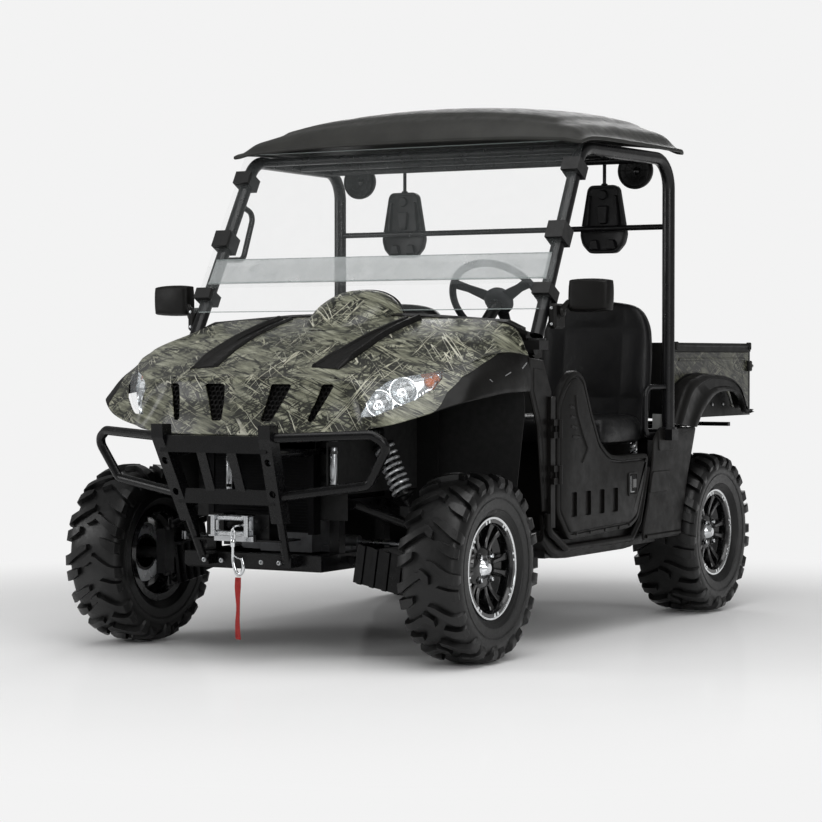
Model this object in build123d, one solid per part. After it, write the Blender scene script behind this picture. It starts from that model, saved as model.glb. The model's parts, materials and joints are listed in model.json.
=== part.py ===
from build123d import *
import math
import os

# Side by side utility vehicle: two seats, roll cage with roof, camouflage bodywork and a tipping bed.
# Axes: +X is the vehicle's left, the nose points along -Y, +Z is up, millimetres.
# The model is drawn with y = 0 on the front axle and z = 0 on the ground. save() then moves every piece
# so that the origin lies under the middle of the overall length.

os.makedirs("parts", exist_ok=True)

# ---------------------------------------------------------------- driving dimensions
wheelbase = 1955.0
front_reach = 545.0          # front axle to the foremost face of the bumper
rear_reach = 497.0           # rear axle to the rear face of the tailgate
running_gap = 0.3            # between pieces that seat on each other
seat_gap = 0.5               # between a soft or moulded piece and what carries it

tyre_radius = 317.5
bead_radius = 152.4
flange_radius = 172.5
lug_count = 26
lug_depth = 17.0
lug_slant = 9.0              # degrees that a lug turns from the middle to the shoulder
front_tyre_width = 214.0
rear_tyre_width = 254.0
front_rim_width = 175.0
rear_rim_width = 200.0
front_wheel_x = 674.5        # middle of the front rim
rear_wheel_x = 637.0
rim_wall = 6.0
spoke_count = 6
lug_nut_circle = 110.0

rail_x = 250.0               # middle of the lower frame rails
rail_size = 50.0
rail_bottom = 308.0
rail_front = -285.0
floor_thick = 5.0
cab_half = 690.0             # half width of the floor pan
cab_front = 300.0            # firewall face
skid_thick = 4.0

cage_tube = 48.0
cage_bend = 110.0
pillar_a_foot = (718.0, 405.0, 1085.0)
pillar_a_top = (701.0, 790.0, 1775.0)
pillar_b_x = 738.0
pillar_b_y = 1488.0
brace_tube = 32.0

roof_front = 712.0
roof_rear = 1622.0
roof_half = 758.0
roof_lip_z = 1815.0
roof_rise = 176.0
roof_wall = 5.0

door_hinge_x = 742.0
door_hinge_y = 543.0
door_inner = 702.0
door_outer = 730.0
hinge_pin = 5.0

bed_front = 1640.0
bed_half = 690.0
bed_floor_z = 800.0
bed_rail_z = 1076.0
bed_wall = 22.0
bed_pivot_y = 2300.0
bed_pivot_z = 640.0
tailgate_thick = 26.0

steer_x = 400.0
steer_hub = (400.0, 726.0, 1218.0)
steer_radius = 178.0
steer_tilt = 38.0            # degrees of the column from level
knuckle_offset = 120.0       # kingpin axis to the middle of the wheel

body_wall = 4.0
# y, then the left half of the cross line: middle, vent line, shoulder, edge
hood_stations = [
    (-303.0, [(0, 950), (200, 950), (255, 949), (290, 944)]),
    (-268.0, [(0, 966), (200, 962), (310, 956), (400, 944)]),
    (-223.0, [(0, 988), (200, 983), (380, 969), (497, 946)]),
    (-165.0, [(0, 1012), (208, 1008), (455, 986), (560, 958)]),
    (-85.0, [(0, 1042), (228, 1037), (520, 1008), (628, 975)]),
    (-30.0, [(0, 1061), (242, 1055), (552, 1024), (664, 990)]),
    (75.0, [(0, 1098), (260, 1090), (600, 1065), (697, 1028)]),
    (234.0, [(0, 1140), (280, 1130), (610, 1105), (703, 1042)]),
    (368.0, [(0, 1168), (280, 1160), (620, 1136), (706, 1030)]),
]

# ---------------------------------------------------------------- worked-out places
rear_axle = wheelbase
bed_rear = wheelbase + rear_reach
origin_y = (front_reach - wheelbase - rear_reach) / 2
axle_z = tyre_radius
rail_top = rail_bottom + rail_size
floor_z = rail_top + running_gap
floor_top = floor_z + floor_thick


# ---------------------------------------------------------------- helpers
def box(x0, x1, y0, y1, z0, z1):
    size = Vector(x1 - x0, y1 - y0, z1 - z0)
    return Pos((x0 + x1) / 2, (y0 + y1) / 2, (z0 + z1) / 2) * Box(size.X, size.Y, size.Z)


def flip(shape):
    return mirror(shape, about=Plane.YZ)


def both(shape):
    return shape + flip(shape)


def polygon(points):
    return make_face(Polyline(*[Vector(*p) for p in points], close=True))


def plate_x(outline, x0, x1):
    """Outline of (y, z) points, from x0 to x1."""
    return extrude(polygon([(x0, y, z) for y, z in outline]), x1 - x0, dir=(1, 0, 0))


def plate_y(outline, y0, y1):
    return extrude(polygon([(x, y0, z) for x, z in outline]), y1 - y0, dir=(0, 1, 0))


def plate_z(outline, z0, z1):
    return extrude(polygon([(x, y, z0) for x, y in outline]), z1 - z0, dir=(0, 0, 1))


def rod(start, end, diameter):
    start, end = Vector(*start), Vector(*end)
    return Solid.make_cylinder(diameter / 2, (end - start).length, Plane(origin=start, z_dir=end - start))


def tube(points, diameter, bend):
    """Round tube along straight runs joined by bends of one radius."""
    path = FilletPolyline(*[Vector(*p) for p in points], radius=bend)
    return sweep(Plane(origin=path @ 0, z_dir=path % 0) * Circle(diameter / 2), path=path)


def skin(sections):
    """Ruled solid through closed sections with the same number of points."""
    return Solid.make_loft([Wire.make_polygon([Vector(*p) for p in s]) for s in sections], ruled=True)


def mirrored(half):
    """Whole cross line of (x, z) points from its left half, which starts on the middle plane."""
    return [(-x, z) for x, z in reversed(half)] + [p for p in half if p[0] > 0]


def panel_section(y, line, thick):
    """Closed section of a panel: a cross line of (x, z) points and the same line lower by its wall."""
    return [(x, y, z) for x, z in line] + [(x, y, z - thick) for x, z in reversed(line)]


def fuse(shapes):
    whole = shapes[0]
    for shape in shapes[1:]:
        whole = whole + shape
    return whole


def save(name, shape):
    export_step(Pos(0, origin_y, 0) * Compound(children=[s for s in shape.solids()]), f"parts/{name}.step")


def hood_z(x, y):
    """Height of the hood's top at a place, straight between the stations."""
    def on_line(line):
        for (xa, za), (xb, zb) in zip(line, line[1:]):
            if xa <= x <= xb:
                return za + (zb - za) * (x - xa) / (xb - xa)
        return line[-1][1]
    for (ya, line_a), (yb, line_b) in zip(hood_stations, hood_stations[1:]):
        if ya <= y <= yb:
            return on_line(line_a) + (on_line(line_b) - on_line(line_a)) * (y - ya) / (yb - ya)
    return on_line(hood_stations[-1][1])


# ---------------------------------------------------------------- wheels
def tyre(width, rim_width):
    """Tyre with chevron lugs: rings of a toothed outline, each turned a little from the last."""
    bead_x = rim_width / 2 - rim_wall - running_gap
    half = width / 2
    # x from the middle, tip radius, root radius, turn in degrees
    rings = [
        (bead_x, flange_radius + 3, flange_radius + 3, lug_slant),
        (half, tyre_radius - 58, tyre_radius - 66, lug_slant),
        (half * 0.70, tyre_radius - 7, tyre_radius - 5 - lug_depth, lug_slant * 0.7),
        (0.0, tyre_radius, tyre_radius - lug_depth, 0.0),
    ]
    pitch = 360.0 / lug_count

    def ring(x, tip, root, turn):
        corners = []
        for lug in range(lug_count):
            # share of the pitch, radius
            for share, radius in ((0.0, root), (0.42, root), (0.50, tip), (0.92, tip)):
                angle = math.radians((lug + share) * pitch + turn)
                corners.append((x, radius * math.cos(angle), radius * math.sin(angle)))
        return corners

    left = [ring(x, tip, root, turn) for x, tip, root, turn in rings]
    right = [ring(-x, tip, root, turn) for x, tip, root, turn in rings[:-1]]
    solid = skin(left + list(reversed(right)))
    bore = rod((-half, 0, 0), (half, 0, 0), 2 * (bead_radius + running_gap))
    return solid - bore


def rim(width):
    """Wheel: stepped barrel with flanges, a dished face with split spokes, hub and cap, outer face at +X."""
    half = width / 2
    face = half - 34
    # x, radius of the barrel's outer surface
    outer = [(-half, flange_radius), (-half + rim_wall, flange_radius), (-half + rim_wall, bead_radius),
             (-half + 40, bead_radius), (-half + 60, bead_radius - 22), (half - 60, bead_radius - 22),
             (half - 40, bead_radius), (half - rim_wall, bead_radius), (half - rim_wall, flange_radius),
             (half, flange_radius)]
    inner = [(half, flange_radius - rim_wall), (half - 12, bead_radius - rim_wall),
             (half - 44, bead_radius - rim_wall), (half - 60, bead_radius - 22 - rim_wall),
             (-half + 60, bead_radius - 22 - rim_wall), (-half + 42, bead_radius - rim_wall),
             (-half, bead_radius - rim_wall)]
    profile = make_face(Polyline(*[(x, r) for x, r in outer + inner], close=True))
    barrel = revolve(profile, axis=Axis.X)
    disc_profile = make_face(Polyline((face - 14, 26), (face + 2, 26), (face + 6, 62), (face - 4, 78),
                                      (face + 10, bead_radius - rim_wall + 1),
                                      (face - 8, bead_radius - rim_wall + 1), (face - 20, 70), close=True))
    disc = revolve(disc_profile, axis=Axis.X)
    window_outer = bead_radius - rim_wall - 9
    for spoke in range(spoke_count):
        turn = 360.0 / spoke_count * spoke
        # half angle inside, half angle outside, inner radius, middle of the window in degrees
        for inside, outside, start, middle in ((13, 17.5, 76, 0), (3, 6.5, 92, 30)):
            corners = []
            for radius, angle in ((start, -inside), (window_outer, -outside), (window_outer, outside),
                                  (start, inside)):
                a = math.radians(turn + middle + angle)
                corners.append((face - 40, radius * math.cos(a), radius * math.sin(a)))
            disc = disc - extrude(polygon(corners), 80, dir=(1, 0, 0))
    cap = rod((face - 14, 0, 0), (face + 22, 0, 0), 56)
    nuts = [rod((face - 2, lug_nut_circle / 2 * math.cos(a), lug_nut_circle / 2 * math.sin(a)),
                (face + 16, lug_nut_circle / 2 * math.cos(a), lug_nut_circle / 2 * math.sin(a)), 20)
            for a in (math.radians(45 + 90 * n) for n in range(4))]
    hub = rod((face - 30, 0, 0), (face - 4, 0, 0), 150)
    return fuse([barrel, disc, cap, hub] + nuts)


front_tyre = tyre(front_tyre_width, front_rim_width)
rear_tyre = tyre(rear_tyre_width, rear_rim_width)
front_rim = rim(front_rim_width)
rear_rim = rim(rear_rim_width)
# name, tyre, rim, x, y
for wheel_name, tyre_solid, rim_solid, wheel_x, wheel_y in (
        ("front", front_tyre, front_rim, front_wheel_x, 0.0),
        ("rear", rear_tyre, rear_rim, rear_wheel_x, rear_axle)):
    for kind, shape in (("tyre", tyre_solid), ("rim", rim_solid)):
        placed = Pos(wheel_x, wheel_y, axle_z) * shape
        save(f"{wheel_name}_left_{kind}", placed)
        save(f"{wheel_name}_right_{kind}", flip(placed))


# ---------------------------------------------------------------- chassis
def cross_box(x0, x1, y, width, z0, z1):
    return box(x0, x1, y - width / 2, y + width / 2, z0, z1)


tower_z = 770.0
tower_y = (-150.0, 150.0)
upright_size = 38.0
dash_tube_y = 405.0
dash_tube_z = 1045.0
rocker_x = 662.0
rocker_size = 40.0
sill_front = 545.0
post_x = 640.0
post_size = 44.0
outrigger_z = (700.0, 742.0)
deck_bottom = bed_floor_z - bed_wall
deck_rail_z = (deck_bottom - 45.0, deck_bottom - 5.0)
deck_rail_y = (1600.0, bed_pivot_y - 12.0)
pivot_lug_x = 190.0
rack_y = 110.0
rack_z = 378.0
rack_bed_z = rail_top - 13.0
deck_post_y = (1640.0, 2230.0)
arm_rail_z = 520.0
pivot_pin = 20.0

frame_rail = box(rail_x - rail_size / 2, rail_x + rail_size / 2, rail_front, bed_pivot_y + 30, rail_bottom,
                 rail_top)
frame = both(frame_rail)
for cross_y in (rail_front + 20, 330.0, 1080.0, pillar_b_y, bed_pivot_y):
    frame = frame + cross_box(-rail_x, rail_x, cross_y, 40, rail_bottom, rail_top)
frame = frame + cross_box(-rail_x, rail_x, rack_y, 40, rail_bottom, rack_bed_z)
for y0, y1 in ((tower_y[0], tower_y[1]), (deck_post_y[0], deck_post_y[1])):
    frame = frame + both(box(rail_x - 19, rail_x + 19, y0, y1, arm_rail_z - 19, arm_rail_z + 19))
# front uprights, tower rails and their cross tubes
for upright_y in tower_y:
    frame = frame + both(box(rail_x - upright_size / 2, rail_x + upright_size / 2, upright_y - upright_size / 2,
                             upright_y + upright_size / 2, rail_top - 5, tower_z))
    frame = frame + cross_box(-rail_x, rail_x, upright_y, upright_size, tower_z - upright_size, tower_z)
frame = frame + both(box(rail_x - upright_size / 2, rail_x + upright_size / 2, tower_y[0] - upright_size / 2,
                         dash_tube_y, tower_z - upright_size, tower_z))
# two posts that carry the hood
hood_post_half = 12.0
hood_post_z = min(hood_z(rail_x + a, b) for a in (-hood_post_half, hood_post_half)
                  for b in (-hood_post_half, hood_post_half)) - body_wall - running_gap
frame = frame + both(box(rail_x - hood_post_half, rail_x + hood_post_half, -hood_post_half, hood_post_half,
                         tower_z - 10, hood_post_z))
# dash hoop that carries the feet of the front pillars
frame = frame + both(box(rail_x - upright_size / 2, rail_x + upright_size / 2, dash_tube_y - upright_size / 2,
                         dash_tube_y + upright_size / 2, rail_top - 5, dash_tube_z))
foot_plate_z = pillar_a_foot[2] - 8.0
frame = frame + rod((-pillar_a_foot[0], dash_tube_y, dash_tube_z), (pillar_a_foot[0], dash_tube_y, dash_tube_z),
                    upright_size)
frame = frame + both(box(pillar_a_foot[0] - 30, pillar_a_foot[0] + 30, dash_tube_y - 35, dash_tube_y + 35,
                         dash_tube_z, foot_plate_z))
# sills and the posts under the rear pillars
frame = frame + both(box(rocker_x - rocker_size / 2, rocker_x + rocker_size / 2, sill_front, pillar_b_y,
                         rail_bottom, rail_bottom + rocker_size))
for sill_y in (sill_front + 20, pillar_b_y):
    frame = frame + both(cross_box(rail_x, rocker_x, sill_y, 40, rail_bottom, rail_bottom + rocker_size))
frame = frame + both(box(post_x - post_size / 2, post_x + post_size / 2, pillar_b_y - post_size / 2,
                         pillar_b_y + post_size / 2, rail_bottom + rocker_size - 5, outrigger_z[1]))
frame = frame + both(box(post_x - post_size / 2, pillar_b_x + 30, pillar_b_y - 30, pillar_b_y + 30,
                         outrigger_z[0], outrigger_z[1]))
# deck rails under the bed, on posts from the lower rails
for post_y in deck_post_y:
    frame = frame + both(box(rail_x - 20, rail_x + 20, post_y - 20, post_y + 20, rail_top - 5, deck_rail_z[1]))
    frame = frame + cross_box(-rail_x, rail_x, post_y, 36, deck_rail_z[0], deck_rail_z[1] - 2)
frame = frame + both(box(rail_x - 20, rail_x + 20, deck_rail_y[0], deck_rail_y[1], deck_rail_z[0],
                         deck_rail_z[1]))
fender_arm_y = (1700.0, 2190.0)
fender_arm_x = 700.0
for arm_y in fender_arm_y:
    frame = frame + both(cross_box(rail_x, fender_arm_x - running_gap, arm_y, 24, deck_rail_z[0] + 4,
                                   deck_rail_z[0] + 20))
# ears and pin of the bed pivot
ear_gap = 8.0
for side in (-1, 1):
    for ear_shift in (-ear_gap / 2 - 14, ear_gap / 2 + 6):
        ear_x = side * pivot_lug_x + ear_shift
        frame = frame + box(ear_x, ear_x + 8, bed_pivot_y - 22, bed_pivot_y + 22, rail_top - 5, bed_pivot_z)
        frame = frame + rod((ear_x, bed_pivot_y, bed_pivot_z), (ear_x + 8, bed_pivot_y, bed_pivot_z), 44)
    frame = frame + rod((side * pivot_lug_x - 24, bed_pivot_y, bed_pivot_z),
                        (side * pivot_lug_x + 24, bed_pivot_y, bed_pivot_z), pivot_pin)
frame = frame + cross_box(-pivot_lug_x - 30, pivot_lug_x + 30, bed_pivot_y, 60, rail_bottom, rail_top)
# tow plate at the tail, with one hole for a hitch ball
tow_rear = bed_rear - 30.0
tow_hole_y = tow_rear - 32.0
tow_plate_thick = 12.0
tow_hole = 19.2
tow_plate = plate_z([(-60, bed_pivot_y + 25), (60, bed_pivot_y + 25), (38, tow_rear), (-38, tow_rear)],
                    rail_bottom + 4, rail_bottom + 4 + tow_plate_thick)
frame = frame + tow_plate - rod((0, tow_hole_y, rail_bottom - 10), (0, tow_hole_y, rail_bottom + 40), tow_hole)
save("main_frame", frame)

skid_rear = 1500.0
skid_plate = box(-rail_x - 20, rail_x + 20, rail_front, skid_rear, rail_bottom - running_gap - skid_thick,
                 rail_bottom - running_gap)
save("skid_plate", skid_plate)


# ---------------------------------------------------------------- roll cage
top_z = pillar_a_top[2]
foot_z = outrigger_z[1] + running_gap
cage = fuse([
    tube([(pillar_a_foot[0], pillar_a_foot[1] + 4, pillar_a_foot[2] + 7), pillar_a_top,
          (pillar_b_x, pillar_b_y, top_z), (pillar_b_x, pillar_b_y, foot_z)], cage_tube, cage_bend),
])
cage = cage + rod((pillar_b_x, pillar_b_y, foot_z), (pillar_b_x, pillar_b_y, foot_z + 8), cage_tube + 16)
cage = both(cage)
cage_cross_y = (pillar_a_top[1] + 45.0, 1130.0, pillar_b_y - 95.0)


def roof_rail_x(y):
    """Middle of the roof rail, which runs outward from the front pillar to the rear one."""
    share = (y - pillar_a_top[1]) / (pillar_b_y - pillar_a_top[1])
    return pillar_a_top[0] + (pillar_b_x - pillar_a_top[0]) * share


for bar_y in cage_cross_y:
    cage = cage + rod((-roof_rail_x(bar_y), bar_y, top_z), (roof_rail_x(bar_y), bar_y, top_z), brace_tube)
head_bar_y = pillar_b_y - 8.0
head_bar_z = 1520.0
cage = cage + rod((-pillar_b_x, pillar_b_y, head_bar_z), (pillar_b_x, pillar_b_y, head_bar_z), 22)
cage = cage + both(rod((pillar_a_foot[0], pillar_a_foot[1], foot_plate_z + running_gap),
                       (pillar_a_foot[0], pillar_a_foot[1], foot_plate_z + running_gap + 8), cage_tube + 22))
# grab handle in front of the passenger, from the right front pillar
handle_tube = 22.0
handle_x = -703.0
cage = cage + tube([(handle_x, 690, 1606), (handle_x, 786, 1572), (handle_x, 712, 1395), (handle_x - 5, 584, 1388)],
                   handle_tube, 34)
save("roll_cage", cage)


# ---------------------------------------------------------------- roof
def roof_line(width, lip, rise, crown):
    """Left half of a roof cross line: lip, flared shoulder, side slope and crowned top."""
    return [(0, lip + rise + crown), (width * 0.42, lip + rise), (width * 0.74, lip + rise * 0.74),
            (width * 0.90, lip + rise * 0.50), (width * 0.955, lip + rise * 0.16), (width, lip + rise * 0.10)]


# y, half width, lip height, rise, crown
roof_stations = [
    (roof_front, roof_half - 6, roof_lip_z - 14, 34, 2),
    (roof_front + 70, roof_half, roof_lip_z - 4, 92, 8),
    (roof_front + 230, roof_half, roof_lip_z, 128, 14),
    (roof_rear - 160, roof_half, roof_lip_z, roof_rise - 16, 16),
    (roof_rear - 30, roof_half - 4, roof_lip_z + 4, roof_rise - 40, 12),
    (roof_rear, roof_half - 10, roof_lip_z + 6, 60, 4),
]


def roof_solid(stations, wall):
    sections = []
    for y, width, lip, rise, crown in stations:
        line = roof_line(width - wall, lip, rise - wall, crown)
        top = [(x, z) for x, z in mirrored(line)]
        sections.append([(x, y, z) for x, z in top + [(width - wall, lip), (-width + wall, lip)]])
    return skin(sections)


roof_block = roof_solid(roof_stations, 0)
# the hollow stops one wall short of both ends
end_shift = [roof_wall] + [0.0] * (len(roof_stations) - 2) + [-roof_wall]
hollow_stations = [(y + shift, width, lip, rise, crown)
                   for shift, (y, width, lip, rise, crown) in zip(end_shift, roof_stations)]
roof_hollow = Pos(0, 0, -roof_wall) * roof_solid(hollow_stations, roof_wall)
roof_shell = roof_block - roof_hollow
roof_pad_y = (pillar_a_top[1] + 130.0, pillar_b_y - 180.0)
pad_half = 22.0
pad_length = 60.0
pad_low = top_z + cage_tube / 2 + running_gap
for pad_y in roof_pad_y:
    pad_x = roof_rail_x(pad_y)
    pad = pad_x - pad_half, pad_x + pad_half, pad_y - pad_length / 2, pad_y + pad_length / 2
    upper = box(*pad, pad_low, roof_lip_z + roof_rise) & roof_block
    lower = box(*pad, pad_low, roof_lip_z + 1)
    roof_shell = roof_shell + both(upper + lower)
save("roof_shell", roof_shell)


# ---------------------------------------------------------------- windshield
rake = Vector(0, pillar_a_top[1] - pillar_a_foot[1], pillar_a_top[2] - pillar_a_foot[2]).normalized()
screen_out = Vector(0, -rake.Z, rake.Y)
screen_plane = Plane(origin=(0, pillar_a_foot[1], pillar_a_foot[2]), x_dir=(1, 0, 0), z_dir=screen_out)
screen_thick = 4.0
lower_screen_out = cage_tube / 2 + 1.0
upper_screen_out = lower_screen_out + screen_thick + 1.0
lower_screen = (100.0, 303.0)     # along the pillar, from its foot
upper_screen = (206.0, 800.0)
screen_edge = 26.0                # the panel runs this far past the pillar's middle


def pillar_x(along):
    share = along / Vector(0, pillar_a_top[1] - pillar_a_foot[1], pillar_a_top[2] - pillar_a_foot[2]).length
    return pillar_a_foot[0] + (pillar_a_top[0] - pillar_a_foot[0]) * share


def screen_panel(span, out):
    low, high = span
    outline = [(-pillar_x(low) - screen_edge, low), (pillar_x(low) + screen_edge, low),
               (pillar_x(high) + screen_edge, high), (-pillar_x(high) - screen_edge, high)]
    flat = screen_plane.offset(out) * make_face(Polyline(*outline, close=True))
    return extrude(flat, screen_thick, dir=tuple(screen_out))


# y, half width, base height, height of the arch
hump_stations = [(150.0, 70.0, 1090.0, 8.0), (260.0, 135.0, 1105.0, 62.0), (350.0, 165.0, 1110.0, 118.0),
                 (400.0, 176.0, 1110.0, 144.0), (452.0, 178.0, 1110.0, 154.0)]


def hump_solid(grow):
    sections = []
    for y, half, base, height in hump_stations:
        # share of the half width, share of the height
        arch = [(1.0, 0.0), (0.93, 0.45), (0.72, 0.80), (0.38, 0.96), (0.0, 1.0)]
        right = [((half + grow) * a, base + (height + grow) * b) for a, b in arch]
        sections.append([(x, y, z) for x, z in right + [(-x, z) for x, z in reversed(right[:-1])]])
    if grow:
        sections[-1] = [(x, y + 60, z) for x, y, z in sections[-1]]
    return skin(sections)


lower_panel = screen_panel(lower_screen, lower_screen_out) - hump_solid(8)
upper_panel = screen_panel(upper_screen, upper_screen_out)
save("windshield_panels", lower_panel + upper_panel)

# along the pillar, half length
clamp_spots = [(178.0, 22.0), (419.0, 34.0), (694.0, 26.0)]
clamps = []
clamp_holes = []
for (low, high), out in ((lower_screen, lower_screen_out), (upper_screen, upper_screen_out)):
    for shift in (-running_gap, running_gap):
        clamp_holes.append(screen_panel((low - running_gap, high + running_gap), out + shift))
pillar_core = rod(Vector(*pillar_a_foot), Vector(*pillar_a_top), cage_tube + 2 * running_gap)
for along, half_length in clamp_spots:
    x = pillar_x(along)
    outline = [(x - 34, along - half_length), (x + 34, along - half_length), (x + 34, along + half_length),
               (x - 34, along + half_length)]
    block = extrude(screen_plane.offset(-cage_tube / 2 - 6) * make_face(Polyline(*outline, close=True)),
                    cage_tube + 28, dir=tuple(screen_out))
    for hole in clamp_holes + [pillar_core]:
        block = block - hole
    clamps.append(both(block))
save("windshield_clamps", fuse(clamps))


# ---------------------------------------------------------------- front bodywork
hood = skin([panel_section(y, mirrored(line), body_wall) for y, line in hood_stations])
hump = hump_solid(0)
hood_block = skin([[(x, y, z) for x, z in mirrored(line)] + [(line[-1][0], y, 1400), (-line[-1][0], y, 1400)]
                   for y, line in hood_stations])
hood_rear = hood_stations[-1][0]
cowl_peak_z = 1180.0
hump_over_cowl = box(-400, 400, hood_rear, hump_stations[-1][0], cowl_peak_z + 3, 1400)
hood = hood + (hump & (hood_block + hump_over_cowl))

# nose: a curved front wall between a lower and an upper edge, with four slots and two lamp corners
nose_low_z = 762.0
nose_high_z = 942.0
nose_low = [(0, -378), (200, -372), (330, -357), (440, -324)]
nose_high = [(0, -303), (200, -303), (290, -297), (350, -281)]


def edge_loop(edge, z, wall):
    """Closed plan outline of a wall: its outer edge and the same edge further back."""
    outer = [(-x, y) for x, y in reversed(edge[1:])] + edge
    return [(x, y, z) for x, y in outer] + [(x, y + wall, z) for x, y in reversed(outer)]


nose = skin([edge_loop(nose_low, nose_low_z, body_wall), edge_loop(nose_high, nose_high_z, body_wall)])
# top and bottom corners of each slot: outer, inner
slot_rows = [((328, 286), (281, 256)), ((173, 92), (123, 78))]
slot_top_z = 930.0
slot_low_z = 806.0
mesh_wall = 3.0
mesh_back = 1.0
slot_shapes = []
for (top_outer, top_inner), (low_outer, low_inner) in slot_rows:
    slot_shapes.append([(low_inner, slot_low_z), (low_outer, slot_low_z), (top_outer, slot_top_z),
                        (top_inner, slot_top_z)])
for outline in slot_shapes:
    nose = nose - both(plate_y(outline, -420, -240))

# one mesh panel behind each slot, with rows of holes
mesh_pitch = 15.0
mesh_hole = 9.0
meshes = []
backing = Pos(0, body_wall + mesh_back, 0) * skin([edge_loop(nose_low, nose_low_z, mesh_wall),
                                                    edge_loop(nose_high, nose_high_z, mesh_wall)])
for outline in slot_shapes:
    xs = [x for x, z in outline]
    middle = sum(xs) / 4
    grown = [(x + (8 if x > middle else -8), z + (8 if z > 860 else -8)) for x, z in outline]
    panel = backing & plate_y(grown, -420, -240)
    for row in range(7):
        for column in range(-3, 4):
            z = slot_low_z + 10 + row * mesh_pitch * 1.15
            low_middle = (outline[0][0] + outline[1][0]) / 2
            high_middle = (outline[2][0] + outline[3][0]) / 2
            share = (z - slot_low_z) / (slot_top_z - slot_low_z)
            x = low_middle + (high_middle - low_middle) * share + (column + 0.5 * (row % 2)) * mesh_pitch
            left = outline[0][0] + (outline[3][0] - outline[0][0]) * share
            right = outline[1][0] + (outline[2][0] - outline[1][0]) * share
            if left + 4 < x - mesh_hole / 2 and x + mesh_hole / 2 < right - 4:
                panel = panel - Pos(x, -330, z) * Rot(90, 0, 0) * extrude(RegularPolygon(mesh_hole / 2, 6), 100,
                                                                          both=True)
    meshes.append(both(panel))
save("grille_mesh", fuse(meshes))

# lamps at the front corners: a housing closed by a clear lens, drawn in the plane of the lens
lamp_low = Vector(440, -316, 823)
lamp_tip = Vector(628, -85, 973)
lamp_high = Vector(497, -221, 942)
lamp_plane = Plane(origin=lamp_low, x_dir=lamp_tip - lamp_low,
                   z_dir=(lamp_tip - lamp_low).cross(lamp_high - lamp_low))
# along the lower edge to the outer tip, across the lens
lens_outline = [(0, 0), (34, -20), (99, -29), (184, -39), (265, -36), (307, -19), (329, 4), (237, 36), (194, 51),
                (153, 61), (85, 52), (40, 30)]
lens_thick = 12.0
lamp_depth = 58.0
lens_face = lamp_plane * make_face(Polyline(*lens_outline, close=True))
lens = extrude(lens_face, -lens_thick, dir=tuple(lamp_plane.z_dir))
lamp_back = [(160 + (u - 160) * 0.78, 5 + (v - 5) * 0.6) for u, v in lens_outline]
housing = skin([[tuple(lamp_plane.from_local_coords((u, v, -lens_thick - running_gap))) for u, v in lens_outline],
                [tuple(lamp_plane.from_local_coords((u, v, -lamp_depth))) for u, v in lamp_back]])
lamp_fit = 0.4
lamp_face = make_face(offset(Polyline(*lens_outline, close=True), amount=lamp_fit, kind=Kind.INTERSECTION))
lamp_hole = extrude(lamp_plane.offset(40) * lamp_face, -115, dir=tuple(lamp_plane.z_dir))
save("headlamp_lenses", both(lens))
save("headlamp_housings", both(housing))

lamp_holes = both(lamp_hole)

# shell round the front corner and over the wheel: each row runs from the hood's edge down to the lip
corner_rows = [
    [(343, -280, 942), (372.4, -293.3, 884.6), (400.12, -305.84, 830.48), (427, -318, 778)],
    [(410, -262, 941), (447, -292, 880), (454, -308, 830), (470, -310, 787)],
    [(494, -222, 943), (514, -232, 888), (532, -270, 835), (544, -282, 803)],
    [(558, -162, 955), (596, -170, 905), (614, -226, 848), (620, -242, 827)],
    [(626, -82, 972), (672, -104, 935), (692, -156, 880), (698, -172, 860)],
    [(660, -36, 985), (712, -58, 945), (730, -100, 892), (733, -114, 876)],
    [(684, 35, 1011), (729, 26, 960), (741, 12, 905), (741, 8, 888)],
    [(697, 130, 1028), (739, 130, 970), (745, 130, 915), (743, 130, 899)],
    [(701, 250, 1036), (741, 250, 975), (746, 250, 918), (744, 250, 902)],
    [(704, 330, 1030), (722, 330, 975), (726, 330, 918), (724, 330, 902)],
    [(706, 372, 1026), (713, 372, 975), (714, 372, 918), (713, 372, 902)],
]


def inward(rows, row, column):
    """Unit normal of a grid of points towards the inside of the body."""
    last_row, last_column = len(rows) - 1, len(rows[0]) - 1
    along = Vector(*rows[min(row + 1, last_row)][column]) - Vector(*rows[max(row - 1, 0)][column])
    down = Vector(*rows[row][min(column + 1, last_column)]) - Vector(*rows[row][max(column - 1, 0)])
    return along.cross(down).normalized()


corner_wires = []
for n, row in enumerate(corner_rows):
    outer = [Vector(*p) for p in row]
    normals = [inward(corner_rows, n, m) for m in range(len(row))]
    # the two end rows are flat, so that the shell closes there
    if n == 0:
        normals = [normals[1]] * len(row)
    if n == len(corner_rows) - 1:
        normals = [Vector(-1, 0, 0)] * len(row)
    inner = [p + normal * body_wall for p, normal in zip(outer, normals)]
    corner_wires.append(Wire.make_polygon(outer + inner[::-1]))
corner = Solid.make_loft(corner_wires, ruled=False)
under_hood = skin([[(x, y, z - body_wall - running_gap) for x, z in mirrored(line)]
                   + [(line[-1][0], y, 1400), (-line[-1][0], y, 1400)] for y, line in hood_stations])
corner = corner - under_hood - lamp_hole
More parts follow.
